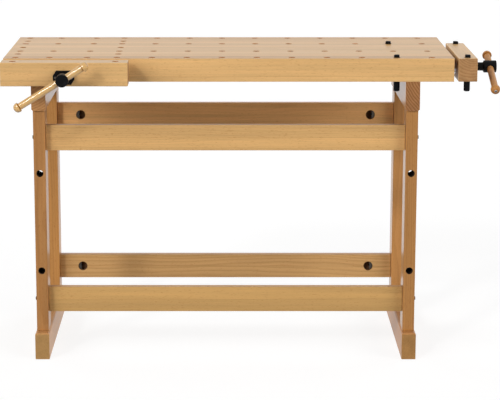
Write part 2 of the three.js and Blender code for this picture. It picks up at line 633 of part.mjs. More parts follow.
function vise(name, size, rodNames) {
  const group = new THREE.Group();
  const front = size.gap + size.thickness;
  const travel = OPENING - size.gap;
  const neckStart = front + PLATE_THICKNESS + 2 * SEAT;
  const journalEnd = neckStart + JOURNAL_IN_HUB;
  const handleAt = neckStart + NECK_LENGTH + HANDLE_FROM_HUB_END;
  const tilt = Math.PI / 2 - THREE.MathUtils.degToRad(size.tilt);
  const screwEnd = size.wall + VISE_NUT_FLANGE_THICKNESS + VISE_NUT_LENGTH + travel;
  const rodEnd = size.wall + travel + GUIDE_ROD_SPARE;

  group.add(piece(`${name}_jaw`, viseJaw(size), BEECH));
  group.add(piece(`${name}_thrust_plate`, thrustPlate(front), BLACK_IRON));
  group.add(piece(`${name}_screw`, viseScrew(front, screwEnd, journalEnd), STEEL));
  group.add(piece(`${name}_hub`, handleHub(neckStart, journalEnd, handleAt, tilt), BLACK_IRON));
  group.add(piece(`${name}_vise_nut`, viseNut(size.wall), BLACK_IRON));
  rodNames.forEach((rodName, i) => {
    const x = (i - 0.5) * GUIDE_ROD_SPACING;
    group.add(piece(`${name}_${rodName}_guide_rod`, guideRod(front, rodEnd, x), STEEL));
  });
  const handle = new THREE.Group();
  handle.add(piece(`${name}_handle`, viseHandle(size.handleOffset), BEECH_TURNED));
  handle.add(piece(`${name}_handle_knob`, looseKnob(size.handleOffset), BEECH_TURNED));
  handle.position.y = -handleAt;
  handle.rotation.y = tilt;
  group.add(handle);
  return group;
}

const frontVise = vise('front', {
  length: FRONT_JAW_LENGTH,
  thickness: FRONT_JAW_THICKNESS,
  gap: FRONT_GAP,
  height: FRONT_SCREW_HEIGHT,
  wall: APRON_THICKNESS,
  dogPlaces: VISE_COLUMNS.map((x) => x - FRONT_JAW_LENGTH / 2),
  tilt: FRONT_HANDLE_TILT,
  handleOffset: FRONT_HANDLE_OFFSET,
}, ['left', 'right']);
frontVise.position.set(FRONT_JAW_LENGTH / 2, 0, FRONT_SCREW_HEIGHT);
bench.add(frontVise);

const tailVise = vise('tail', {
  length: TAIL_JAW_LENGTH,
  thickness: TAIL_JAW_THICKNESS,
  gap: TAIL_GAP,
  height: TAIL_SCREW_HEIGHT,
  wall: END_RAIL_WIDTH,
  dogPlaces: DOG_ROWS.map((y) => y - TAIL_JAW_LENGTH / 2),
  tilt: TAIL_HANDLE_TILT,
  handleOffset: TAIL_HANDLE_OFFSET,
}, ['front', 'back']);
tailVise.position.set(TOP_LENGTH, TAIL_JAW_LENGTH / 2, TAIL_SCREW_HEIGHT);
tailVise.rotation.z = Math.PI / 2;
bench.add(tailVise);

// The finished bench stands on the floor with its middle over the origin
bench.updateMatrixWorld(true);
const extent = new THREE.Box3().setFromObject(bench, true);
const middle = extent.getCenter(new THREE.Vector3());
bench.position.set(-middle.x, -middle.y, -extent.min.z);
bench.updateMatrixWorld(true);

export default bench;
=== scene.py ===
"""Woodworking bench with a front vise and a tail vise: the shaped wood, iron and steel around its frame."""

import json
import math
import random
from functools import partial

import bmesh
import bpy
from bpy.props import FloatProperty, FloatVectorProperty, IntProperty, PointerProperty
from mathutils import Euler, Matrix, Vector


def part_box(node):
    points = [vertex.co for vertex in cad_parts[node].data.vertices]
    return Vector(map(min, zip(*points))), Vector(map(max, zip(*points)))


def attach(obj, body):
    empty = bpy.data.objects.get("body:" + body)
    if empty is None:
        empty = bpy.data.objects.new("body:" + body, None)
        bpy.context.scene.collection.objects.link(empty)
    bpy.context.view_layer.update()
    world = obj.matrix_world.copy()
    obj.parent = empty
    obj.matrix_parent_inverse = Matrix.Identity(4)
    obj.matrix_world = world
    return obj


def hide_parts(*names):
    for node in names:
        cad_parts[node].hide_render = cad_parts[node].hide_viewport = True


bl_info = {
    "name": "Woodworking Bench",
    "version": (1, 0, 0),
    "blender": (4, 5, 0),
    "location": "View3D > Sidebar > Bench",
    "description": "Builds the boards, vises, dogs and fasteners of a woodworking bench",
    "category": "Object",
}

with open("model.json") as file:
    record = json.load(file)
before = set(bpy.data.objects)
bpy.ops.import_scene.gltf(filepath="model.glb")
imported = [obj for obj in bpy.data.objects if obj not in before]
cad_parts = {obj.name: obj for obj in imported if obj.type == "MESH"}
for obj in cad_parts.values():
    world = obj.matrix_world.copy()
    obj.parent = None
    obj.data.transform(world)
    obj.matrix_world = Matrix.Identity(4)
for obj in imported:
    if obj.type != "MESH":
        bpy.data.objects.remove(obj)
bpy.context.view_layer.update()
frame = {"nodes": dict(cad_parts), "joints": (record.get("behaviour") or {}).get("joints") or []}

MM = 0.001
FRAME_BODY = "bench_frame"
AXES = {"x": Vector((1, 0, 0)), "y": Vector((0, 1, 0)), "z": Vector((0, 0, 1))}
UP = AXES["z"]

# Clearances
SEAT = 0.3 * MM  # between faces that are set on each other
PAST = 1 * MM  # how far a cutting tool runs past the face it opens


def linear(red, green, blue):
    """A colour given as 0 to 255 on a screen, as the light that it sends back."""

    def channel(level):
        share = level / 255
        return share / 12.92 if share <= 0.04045 else ((share + 0.055) / 1.055) ** 2.4

    return channel(red), channel(green), channel(blue)


def middle(low, high):
    return (low + high) / 2


# Settings


def tone(name, description, default):
    return FloatVectorProperty(
        name=name, description=description, subtype="COLOR", size=3, min=0, max=1, default=default)


def length(name, description, low, high, default):
    return FloatProperty(
        name=name, description=description, unit="LENGTH", min=low, max=high, default=default)


def amount(name, description, default):
    return FloatProperty(name=name, description=description, default=default)


class BenchWood(bpy.types.PropertyGroup):
    """Tones and edges of the wood"""

    top_tone: tone("Top", "Wood of the top, its aprons and the jaws", linear(219, 176, 118))
    stretcher_tone: tone("Stretchers", "Wood of the four stretchers", linear(216, 172, 113))
    trestle_tone: tone("Trestles", "Wood of the legs, feet and crossbeams", linear(170, 121, 72))
    turned_tone: tone("Turned", "Wood of the handles and knobs", linear(222, 174, 98))
    # Painted shade: the walls of the dog holes, the peg holes and the nut holes are drawn darker than their
    # wood, the peg holes near black, to stand for the shade inside them
    bore_tone: tone("Bores", "Scorched wall of a drilled dog hole", linear(176, 122, 76))
    deep_bore_tone: tone("Deep Bores", "Wall of the peg holes in the legs", linear(58, 45, 35))
    nut_bore_tone: tone("Nut Bores", "Wall of the nut holes in the stretchers", linear(112, 82, 58))
    edge_round: length("Edge Rounding", "Radius of the eased edges of the boards", 0.2 * MM, 4 * MM, 1.2 * MM)
    jaw_round: length("Jaw Rounding", "Radius of the eased edges of the jaws", 0.2 * MM, 6 * MM, 2.2 * MM)
    hole_rim: length("Hole Rim", "Width of the chamfer round a drilled hole", 0.1 * MM, 2 * MM, 0.5 * MM)


class BenchMetal(bpy.types.PropertyGroup):
    """Colours of the iron, steel and plastic, and the form of the vise screws and bench dogs"""

    iron_colour: tone("Iron", "Black paint of the hubs, plates, vise nuts and bolts", (0.0035, 0.0035, 0.004))
    plastic_colour: tone("Plastic", "Black plastic of the bench dogs", (0.003, 0.003, 0.0035))
    steel_colour: tone("Steel", "Bright steel of the vise screws, rods and knob screws", (0.56, 0.56, 0.57))
    zinc_colour: tone("Zinc", "Dull plating of the half-moon nuts and plate screws", (0.1, 0.09, 0.078))
    thread_depth: length("Thread Depth", "Depth of the vise screws' thread", 0.5 * MM, 3 * MM, 2 * MM)
    dog_ribs: IntProperty(
        name="Dog Ribs", description="Ribs round the stem of a bench dog", min=4, max=24, default=12)


class BenchStage(bpy.types.PropertyGroup):
    """Camera, lamps and floor"""

    camera_place: FloatVectorProperty(
        name="Camera", description="Where the camera stands",
        subtype="TRANSLATION", size=3, default=(-0.0836, -5.8315, 1.6697))
    camera_pitch: FloatProperty(
        name="Camera Tilt", description="How far the camera looks down", subtype="ANGLE", default=0.2072)
    camera_lens: FloatProperty(
        name="Lens", description="Focal length in millimetres", unit="CAMERA", default=141.35)
    camera_shift: amount("Shift", "Sideways lens shift that frames the bench", 0.05)
    floor_colour: tone("Floor", "Colour of the floor", (0.22, 0.22, 0.22))
    floor_lift: amount("Floor Lift", "How much whiter the floor shows than its own colour", 0.85)
    key_strength: amount("Key Light", "Strength of the broad lamp at the front left", 1.92)
    spark_strength: amount("Spark Light", "Strength of the small lamp that shows on shiny edges", 0.75)
    fill_strength: amount("Fill Light", "Strength of the broad lamp at the front right", 2.15)
    back_strength: amount("Back Lights", "Strength of each of the two lamps behind the bench", 0.8)
    sky_strength: amount("Sky Light", "Strength of the even light from all round", 0.05)


# Node trees


class Nodes:
    """Adds nodes to a tree; an input takes another node's socket or a plain value."""

    def __init__(self, tree):
        self.tree = tree

    def add(self, kind, inputs=None, **settings):
        node = self.tree.nodes.new(kind)
        for name, value in settings.items():
            setattr(node, name, value)
        return self.fill(node, inputs or {})

    def feed(self, socket, value):
        if isinstance(value, bpy.types.NodeSocket):
            self.tree.links.new(value, socket)
        else:
            socket.default_value = value

    def fill(self, node, inputs):
        for name, value in inputs.items():
            self.feed(node.inputs[name], value)
        return node

    def feed_all(self, node, values):
        for socket, value in zip(node.inputs, values):
            self.feed(socket, value)
        return node

    def math(self, operation, *values):
        return self.feed_all(self.add("ShaderNodeMath", operation=operation), values).outputs[0]

    def times(self, first, second):
        return self.math("MULTIPLY", first, second)

    def less(self, first, second):
        return self.math("SUBTRACT", first, second)

    def total(self, *values):
        result = values[0]
        for value in values[1:]:
            result = self.math("ADD", result, value)
        return result

    def limited(self, value, low, high):
        return self.math("MINIMUM", self.math("MAXIMUM", value, low), high)

    def vector(self, operation, *values):
        return self.feed_all(self.add("ShaderNodeVectorMath", operation=operation), values).outputs[0]

    def split(self, value):
        return self.add("ShaderNodeSeparateXYZ", {"Vector": value}).outputs

    def join(self, x, y, z):
        return self.feed_all(self.add("ShaderNodeCombineXYZ"), (x, y, z)).outputs[0]

    def step(self, value, low, high):
        """0 below low and 1 above high, smooth between them."""
        node = self.add("ShaderNodeMapRange", interpolation_type="SMOOTHSTEP")
        return self.feed_all(node, (value, low, high, 0.0, 1.0)).outputs[0]

    def noise(self, place, stretch, detail):
        """Soft noise from -0.5 to 0.5, with that many lumps for each metre along each axis."""
        scaled = self.vector("MULTIPLY", place, stretch)
        node = self.add("ShaderNodeTexNoise", {"Vector": scaled, "Scale": 1.0, "Detail": detail})
        return self.less(node.outputs[0], 0.5)

    def mix(self, factor, first, second, blend_type="MIX"):
        """Two colours mixed by a factor, through the sockets that the node keeps for colours."""
        node = self.add("ShaderNodeMix", data_type="RGBA", blend_type=blend_type)
        for socket, value in zip((node.inputs[0], node.inputs[6], node.inputs[7]), (factor, first, second)):
            self.feed(socket, value)
        return node.outputs[2]

    def tinted(self, factor, colour, tint):
        """A colour that is multiplied by a tint where the factor is 1."""
        return self.mix(factor, colour, (*tint, 1.0), "MULTIPLY")

    def scale(self, colour, factor):
        """A colour made lighter or darker by a number."""
        node = self.add("ShaderNodeVectorMath", {"Scale": factor}, operation="SCALE")
        self.feed(node.inputs[0], colour)
        return node.outputs[0]

    def bump(self, height, strength, distance):
        inputs = {"Height": height, "Strength": strength, "Distance": distance}
        return self.add("ShaderNodeBump", inputs).outputs[0]

    def finished(self, geometry, finish):
        """Geometry made of real faces only, with one finish all over."""
        whole = self.add("GeometryNodeRealizeInstances", {"Geometry": geometry})
        done = self.add("GeometryNodeSetMaterial", {"Geometry": whole.outputs[0], "Material": finish})
        return done.outputs[0]


def new_tree(name, kind, inputs, outputs):
    """A node tree with named inputs and outputs: its nodes, and what it is given."""
    tree = bpy.data.node_groups.new(name, kind)
    for direction, wanted in (("INPUT", inputs), ("OUTPUT", outputs)):
        for socket, socket_kind in wanted.items():
            tree.interface.new_socket(socket, in_out=direction, socket_type=f"NodeSocket{socket_kind}")
    nodes = Nodes(tree)
    return nodes, nodes.add("NodeGroupInput").outputs


def new_material(name):
    material = bpy.data.materials.new(name)
    material.use_nodes = True
    return material, Nodes(material.node_tree), material.node_tree.nodes["Principled BSDF"]


# Beech

HALF = (0.5, 0.5, 0.5)
UNDIVIDED = 100.0  # a stave wider than any board
GRAIN_TURNS = {"x": (0, 0, 0), "y": (0, 0, -math.pi / 2), "z": (0, math.pi / 2, 0)}

# Lacquers, each with its weight, refraction and roughness
SATIN = (0.36, 1.35, 0.24)
OILED = (0.42, 1.35, 0.24)
LACQUERED = (0.75, 1.35, 0.24)
WAXED = (0.25, 1.35, 0.24)
POLISHED = (1.0, 1.75, 0.16)

# Waves in the wood: their lumps for each metre along and across the grain, and their detail
WANDER = ((1.6, 7.0, 7.0), 2.0)
RIPPLE = ((9.0, 45.0, 45.0), 2.0)
YEARS = ((60.0, 9.0, 9.0), 2.0)
CLOUD = ((1.3, 34.0, 34.0), 2.0)
STREAK = ((3.0, 130.0, 130.0), 3.0)
FIBRE = ((40.0, 900.0, 900.0), 3.0)
FLECK = ((95.0, 450.0, 450.0), 1.0)

# How far the waves push the rings
WANDER_REACH = 30 * MM
RIPPLE_REACH = 3.5 * MM
YEARS_REACH = 6 * MM

# Levels between which one thing turns into another
LATE_STARTS = (0.25, 0.93)  # shares of a ring
LATE_ENDS = (0.94, 1.0)
END_GRAIN = (0.6, 0.9)
FLECK_EDGE = (0.10, 0.22)
GLUE_EDGE = (0.2 * MM, 0.7 * MM)

# What the figure does to the tone of the wood
CLOUD_LIGHT = 0.4
STREAK_LIGHT = 0.3
FIBRE_LIGHT = 0.16
STAVE_LIGHT = 1.3
LATE_TINT = (0.62, 0.50, 0.38)
RED_TINT, RED_STRENGTH = (1.02, 0.95, 0.86), 6.0
FLECK_TINT, FLECK_STRENGTH = (0.78, 0.68, 0.58), 0.55
SEAM_TINT, SEAM_STRENGTH = (0.72, 0.62, 0.52), 0.6

# Roughness and relief of planed wood
PLANED_ROUGHNESS, END_ROUGHNESS, STREAK_ROUGHNESS = 0.42, 0.12, 0.15
LATE_RISE, FIBRE_RISE = 0.3, 0.5
FLECK_SINK, SEAM_SINK = 0.4, 0.8
WOOD_BUMP = (0.35, 0.15 * MM)

GROWN_APART = (7.0, 3.0, 3.0)  # how far apart in their trees two staves may have grown
PLAIN_FIGURE = {
    "stave_width": (UNDIVIDED, UNDIVIDED, UNDIVIDED), "stave_phase": HALF, "stave_spread": 0.0,
    "half_light": 0.0, "ring_width": 4.2 * MM, "ring_contrast": 0.09, "end_contrast": 0.5,
    "end_tone": (0.60, 0.53, 0.54, 1.0),
}


def beech_figure():
    """Beech with growth rings, flecks and glued staves. The grain runs along X of the place it is given."""
    n, given = new_tree("beech figure", "ShaderNodeTree", {
        "Place": "Vector", "Facing": "Vector", "Heart": "Vector", "Seed": "Vector", "Tone": "Color",
        "End Tone": "Color", "Stave Width": "Vector", "Stave Phase": "Vector", "Stave Spread": "Float",
        "Half Light": "Float", "Ring Width": "Float", "Ring Contrast": "Float", "End Contrast": "Float",
    }, {"Colour": "Color", "Roughness": "Float", "Height": "Float"})
    place, spread = given["Place"], given["Stave Spread"]

    # Each stave has its own luck and grew at its own spot
    staves = n.vector("ADD", n.vector("DIVIDE", place, given["Stave Width"]), given["Stave Phase"])
    number = n.vector("FLOOR", staves)
    chance = n.add("ShaderNodeTexWhiteNoise", {"Vector": n.vector("ADD", number, given["Seed"])})
    luck = chance.outputs["Color"]
    luck_red, luck_light, _ = n.split(luck)
    origin = n.vector("MULTIPLY", n.vector("ADD", luck, given["Seed"]), GROWN_APART)
    grown = n.vector("ADD", place, origin)

    # Rings round the heart of the tree, some years wide and some narrow
    drift = n.vector("MULTIPLY", n.vector("SUBTRACT", luck, HALF), n.join(0.0, spread, spread))
    heart = n.vector("ADD", given["Heart"], drift)
    _, across, through = n.split(n.vector("SUBTRACT", place, heart))
    from_heart = n.math("SQRT", n.total(n.times(across, across), n.times(through, through)))
    wander = n.times(n.noise(grown, *WANDER), WANDER_REACH)
    ripple = n.times(n.noise(grown, *RIPPLE), RIPPLE_REACH)
    radius = n.total(from_heart, wander, ripple)
    years = n.times(n.noise(n.join(radius, luck_red, luck_light), *YEARS), YEARS_REACH)
    ring = n.math("FRACT", n.math("DIVIDE", n.total(radius, years), given["Ring Width"]))
    late = n.times(n.step(ring, *LATE_STARTS), n.less(1.0, n.step(ring, *LATE_ENDS)))

    # End grain shows where a face looks along the grain
    along, _, _ = n.split(given["Facing"])
    end = n.step(n.math("ABSOLUTE", along), *END_GRAIN)
    side_contrast = n.times(given["Ring Contrast"], n.less(1.0, end))
    contrast = n.total(side_contrast, n.times(given["End Contrast"], end))
    end_tone = n.mix(1.0, given["Tone"], given["End Tone"], "MULTIPLY")
    colour = n.tinted(n.times(late, contrast), n.mix(end, given["Tone"], end_tone), LATE_TINT)

    # Light and dark along the grain
    cloud = n.noise(grown, *CLOUD)
    streak = n.noise(grown, *STREAK)
    fibre = n.noise(grown, *FIBRE)
    fleck = n.step(n.noise(grown, *FLECK), *FLECK_EDGE)
    stave_light = n.times(n.less(luck_light, 0.5), n.times(spread, STAVE_LIGHT))
    upper = n.total(n.times(n.split(number)[2], 2.0), 1.0)
    half_light = n.times(upper, given["Half Light"])
    light = n.total(1.0, n.times(cloud, CLOUD_LIGHT), n.times(streak, STREAK_LIGHT),
                    n.times(fibre, FIBRE_LIGHT), stave_light, half_light)
    colour = n.scale(colour, light)
    colour = n.tinted(n.times(luck_red, n.times(spread, RED_STRENGTH)), colour, RED_TINT)
    colour = n.tinted(n.times(fleck, FLECK_STRENGTH), colour, FLECK_TINT)

    # The glue line between two staves
    edge = n.vector("ABSOLUTE", n.vector("SUBTRACT", n.vector("FRACTION", staves), HALF))
    _, gap_v, gap_w = n.split(n.vector("MULTIPLY", n.vector("SUBTRACT", HALF, edge), given["Stave Width"]))
    seam = n.less(1.0, n.step(n.math("MINIMUM", gap_v, gap_w), *GLUE_EDGE))
    colour = n.tinted(n.times(seam, SEAM_STRENGTH), colour, SEAM_TINT)

    roughness = n.total(PLANED_ROUGHNESS, n.times(end, END_ROUGHNESS), n.times(streak, STREAK_ROUGHNESS))
    raised = n.total(n.times(late, LATE_RISE), n.times(fibre, FIBRE_RISE))
    sunk = n.total(n.times(fleck, FLECK_SINK), n.times(seam, SEAM_SINK))
    height = n.less(raised, sunk)
    n.add("NodeGroupOutput", {"Colour": colour, "Roughness": roughness, "Height": height})


def beech(name, colour, centre, turn, heart, gloss=SATIN, **figure):
    """A board's own beech: its grain direction is brought to X by turn, about the board's centre."""
    material, n, shader = new_material(name)
    place = n.add("ShaderNodeTexCoord").outputs
    shift = -(Euler(turn).to_matrix() @ Vector(centre))
    board = n.add("ShaderNodeMapping", {"Vector": place["Object"], "Location": shift, "Rotation": turn})
    facing = n.add("ShaderNodeMapping", {"Vector": place["Normal"], "Rotation": turn}, vector_type="VECTOR")
    draw = random.Random(name)
    values = {
        **PLAIN_FIGURE, **figure, "place": board.outputs[0], "facing": facing.outputs[0],
        "heart": (0.0, *heart), "seed": [draw.uniform(0, 9) for _ in AXES], "tone": (*colour, 1.0),
    }
    group = n.add("ShaderNodeGroup", node_tree=bpy.data.node_groups["beech figure"])
    n.fill(group, {key.replace("_", " ").title(): value for key, value in values.items()})
    weight, refraction, roughness = gloss
    n.fill(shader, {
        "Base Color": group.outputs["Colour"], "Roughness": group.outputs["Roughness"],
        "Normal": n.bump(group.outputs["Height"], *WOOD_BUMP), "Specular IOR Level": 0.15,
        "Coat Weight": weight, "Coat IOR": refraction, "Coat Roughness": roughness,
    })
    return material


# Where each board lay in its tree: the heart's place across the grain, from the board's middle
HEARTS = {
    "top_panel": (0.02, -0.11), "front_apron": (-0.09, 0.03), "back_apron": (0.09, 0.03),
    "left_end_rail": (0.07, -0.05), "right_end_rail": (0.06, -0.07),
    "left_foot": (0.05, 0.12), "right_foot": (-0.06, 0.11),
    "left_crossbeam": (0.07, 0.12), "right_crossbeam": (-0.12, 0.08),
    "left_front_leg": (0.06, -0.01), "left_back_leg": (-0.07, 0.03),
    "right_front_leg": (0.02, 0.12), "right_back_leg": (0.08, 0.04),
    "upper_front_stretcher": (-0.07, 0.05), "upper_back_stretcher": (-0.06, 0.04),
    "lower_front_stretcher": (-0.05, -0.06), "lower_back_stretcher": (0.034, 0.006),
    "front_jaw": (0.05, 0.09), "tail_jaw": (-0.014, 0.056),
    "front_handle": (0.03, 0.05), "tail_handle": (0.04, -0.03),
}
# The colour of single boards beside the tone of their group. The feet, crossbeams, front legs and tail handle
# keep the board's own tint;
# the back legs and the upper back stretcher are painted lighter to lift the shade on them, the lower front
# and lower back stretchers painted darker as shade
TINTS_AND_PAINTED_SHADE = {
    "left_foot": (1.3, 1.36, 1.5), "right_foot": (1.15, 1.1, 1.12),
    "left_crossbeam": (1.15, 1.15, 1.15), "right_crossbeam": (1.15, 1.15, 1.15),
    "left_front_leg": (1.0, 0.99, 0.95), "right_front_leg": (1.02, 1.0, 0.84),
    "left_back_leg": (1.3, 1.3, 1.15), "right_back_leg": (1.2, 1.2, 1.1),
    "lower_front_stretcher": (0.78, 0.77, 0.7), "upper_back_stretcher": (1.22, 1.13, 1.11),
    "lower_back_stretcher": (0.82, 0.81, 0.82), "tail_handle": (0.69, 0.55, 0.54),
}


def sawn(node, group_tone, turn, gloss=SATIN, **figure):
    """The beech of the board that stands for a node, with its tint, which on some boards is painted light and
    on others painted shade.
    """
    colour = [a * b for a, b in zip(group_tone, TINTS_AND_PAINTED_SHADE.get(node, (1.0, 1.0, 1.0)))]
    return beech(f"{node} beech", colour, middle(*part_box(node)), turn, HEARTS[node], gloss, **figure)


# Other finishes

# A grain or patch has its lumps for each metre and its detail, and a bump its strength and depth.
# Wear has the levels of the patches between which it sets in, and how it changes the colour.
# Roughness has what the patches add to it. What is even is the same all over.
CAST_IRON = {
    "grain": ((900.0, 900.0, 900.0), 4.0), "bump": (0.3, 0.2 * MM), "patch": ((60.0, 60.0, 60.0), 2.0),
    "wear": (0.05, 0.3, 3.0), "roughness": (0.42, 0.25), "even": {"Specular IOR Level": 0.08},
}
MOULDED_PLASTIC = {
    "grain": ((1800.0, 1800.0, 1800.0), 2.0), "bump": (0.2, 0.1 * MM), "patch": ((90.0, 90.0, 400.0), 3.0),
    "wear": (0.1, 0.35, 2.5), "roughness": (0.45, 0.3), "even": {"Specular IOR Level": 0.08},
}
TURNED_STEEL = {
    "grain": ((2500.0, 2500.0, 2500.0), 2.0), "bump": (0.15, 0.05 * MM), "patch": ((45.0, 45.0, 45.0), 3.0),
    "wear": (0.0, 0.4, 0.7), "roughness": (0.28, 0.25), "even": {"Metallic": 1.0},
}
PLATED_STEEL = {**TURNED_STEEL, "roughness": (0.36, 0.25)}
# Mottling of the painted shade on a hole's wall, and the fine tears that roughen it
BORE_SHADE_MOTTLE, SHADE_MOTTLE_LIGHT = ((160.0, 160.0, 160.0), 3.0), 0.9
BORE_TEAR, TEAR_LIGHT = ((1200.0, 1200.0, 1200.0), 2.0), 0.4
TEAR_BUMP = (0.5, 0.2 * MM)


def bored_wood(name, colour):
    """The rough wall that a drill leaves, in a tone darkened as painted shade, mottled lighter and darker."""
    material, n, shader = new_material(name)
    place = n.add("ShaderNodeTexCoord").outputs["Object"]
    shade_mottle = n.noise(place, *BORE_SHADE_MOTTLE)
    tear = n.noise(place, *BORE_TEAR)
    light = n.total(1.0, n.times(shade_mottle, SHADE_MOTTLE_LIGHT), n.times(tear, TEAR_LIGHT))
    n.fill(shader, {
        "Base Color": n.scale((*colour,), light), "Normal": n.bump(tear, *TEAR_BUMP),
        "Roughness": 0.95, "Specular IOR Level": 0.02,
    })
    return material


def worn_surface(name, colour, grain, bump, patch, wear, roughness, even):
    """Paint, plastic or bare metal with a fine grain, and patches where it has worn."""
    material, n, shader = new_material(name)
    place = n.add("ShaderNodeTexCoord").outputs["Object"]
    patches = n.noise(place, *patch)
    start, end, change = wear
    worn = n.mix(n.step(patches, start, end), (*colour, 1.0), (*[change * c for c in colour], 1.0))
    base, uneven = roughness
    n.fill(shader, {
        "Base Color": worn, "Roughness": n.total(base, n.times(patches, uneven)),
        "Normal": n.bump(n.noise(place, *grain), *bump), **even,
    })
    return material


def shared(name, make, settings, colour, **values):
    """A finish that several pieces share, made when it is first asked for."""
    chosen = getattr(getattr(bpy.context.scene, settings), colour)
    return bpy.data.materials.get(name) or make(name, chosen, **values)


# Finishes of the hole walls, whose dark tones are painted shade
dog_bore = partial(shared, "scorched bore", bored_wood, "bench_wood", "bore_tone")
deep_bore = partial(shared, "deep bore", bored_wood, "bench_wood", "deep_bore_tone")
nut_bore = partial(shared, "nut bore", bored_wood, "bench_wood", "nut_bore_tone")
iron = partial(shared, "black iron", worn_surface, "bench_metal", "iron_colour", **CAST_IRON)
plastic = partial(shared, "black plastic", worn_surface, "bench_metal", "plastic_colour", **MOULDED_PLASTIC)
steel = partial(shared, "bright steel", worn_surface, "bench_metal", "steel_colour", **TURNED_STEEL)
zinc = partial(shared, "zinc steel", worn_surface, "bench_metal", "zinc_colour", **PLATED_STEEL)


# Shapes

TURNED_SIDES = 48
SHAFT_SIDES = 40
HEXAGON = 6
CORNER_ANGLE = 0.3  # an edge between faces that turn less is left as it is
ON_AXIS = 0.0001 * MM  # a smaller radius is a point on the axis


def to_mesh(shape, name):
    """A finished mesh from an edit mesh, with its faces pointing outwards."""
    bmesh.ops.recalc_face_normals(shape, faces=shape.faces)
    if shape.calc_volume(signed=True) < 0:
        bmesh.ops.reverse_faces(shape, faces=shape.faces)
    mesh = bpy.data.meshes.new(name)
    shape.to_mesh(mesh)
    shape.free()
    return mesh


def to_shape(mesh):
    """An edit mesh from a finished mesh, which is used up."""
    shape = bmesh.new()
    shape.from_mesh(mesh)
    bpy.data.meshes.remove(mesh)
    return shape


def bevel(shape, width, segments=3, chosen=lambda edge: True):
    """Rounds the outer corners of a shape, or the chosen ones of them. One segment makes a chamfer."""
    edges = [e for e in shape.edges if e.is_convex and e.calc_face_angle() > CORNER_ANGLE and chosen(e)]
    bmesh.ops.bevel(shape, geom=edges, offset=width, segments=segments, profile=0.5, affect="EDGES")


def prism(axis, outline, start, end):
    """An outline drawn out along an axis. Its points are given along the two other axes, in order."""
    shape = bmesh.new()
    order = {"x": (2, 0, 1), "y": (0, 2, 1), "z": (0, 1, 2)}[axis]
    rings = []
    for height in (start, end):
        spots = [(u, v, height) for u, v in outline]
        rings.append([shape.verts.new([spot[i] for i in order]) for spot in spots])
    for i, corner in enumerate(rings[0]):
        shape.faces.new((rings[0][i - 1], corner, rings[1][i], rings[1][i - 1]))
    shape.faces.new(rings[0])
    shape.faces.new(rings[1])
    bmesh.ops.recalc_face_normals(shape, faces=shape.faces)
    return shape


def block(low, high):
    outline = [(low[0], low[1]), (high[0], low[1]), (high[0], high[1]), (low[0], high[1])]
    return prism("z", outline, low[2], high[2])


def circle(radius, count):
    """Corners of a regular outline round the origin."""
    turns = [2 * math.pi * i / count for i in range(count)]
    return [(radius * math.cos(t), radius * math.sin(t)) for t in turns]


def lathe(profile, sides=TURNED_SIDES):
    """A shape turned about Z from (radius, height) pairs that start and end on the axis."""
    shape = bmesh.new()
    rings = []
    for radius, height in profile:
        spots = circle(radius, sides) if radius > ON_AXIS else [(0, 0)]
        rings.append([shape.verts.new((x, y, height)) for x, y in spots])
    for lower, upper in zip(rings, rings[1:]):
        for i in range(max(len(lower), len(upper))):
            corners = [lower[i - 1], lower[i]] if len(lower) > 1 else lower[:1]
            corners += [upper[i], upper[i - 1]] if len(upper) > 1 else upper[:1]
            if len(corners) > 2:
                shape.faces.new(corners)
    return shape


def arc(centre, radius, start, end, steps):
    """Points of a round corner, as (radius, height) pairs, from one angle to another in degrees."""
    angles = [math.radians(start + (end - start) * i / steps) for i in range(steps + 1)]
    return [(centre[0] + radius * math.cos(a), centre[1] + radius * math.sin(a)) for a in angles]


def pointing(axis):
    """The turn that brings Z to an axis."""
    return UP.rotation_difference(Vector(axis))


def place_along(axis, at):
    """The move that brings a thing made along Z to its place, pointing along an axis."""
    return Matrix.Translation(at) @ pointing(axis).to_matrix().to_4x4()


def placed(shape, axis, at=(0, 0, 0)):
    bmesh.ops.transform(shape, matrix=place_along(axis, at), verts=shape.verts)
    return shape


def merged(shapes):
    """Several edit meshes as one."""
    whole = bmesh.new()
    for shape in shapes:
        part = bpy.data.meshes.new("part")
        shape.to_mesh(part)
        shape.free()
        whole.from_mesh(part)
        bpy.data.meshes.remove(part)
    return whole


def drill(radius, start, end, rim=0.0, rim_both=False):
    """The space that a drill clears along Z, wider at its far end, or at both, by a chamfered rim."""
    wide = radius + rim + PAST
    if rim_both:
        first = [(0, start - PAST), (wide, start - PAST), (radius, start + rim)]
    else:
        first = [(0, start), (radius, start)]
    return lathe([*first, (radius, end - rim), (wide, end + PAST), (0, end + PAST)], SHAFT_SIDES)


# Geometry Nodes: drilled holes, repeated fasteners and threads

# Attributes that the node trees read, which a finished piece doesn't keep
BORED = "bored"
TURN = "turn"

THREAD_CLOSING = 0.01 * MM  # how near the points are that close the thread's seam
CLOSING_ROWS = 3  # what the rows of a thread's grid have more than its length has steps


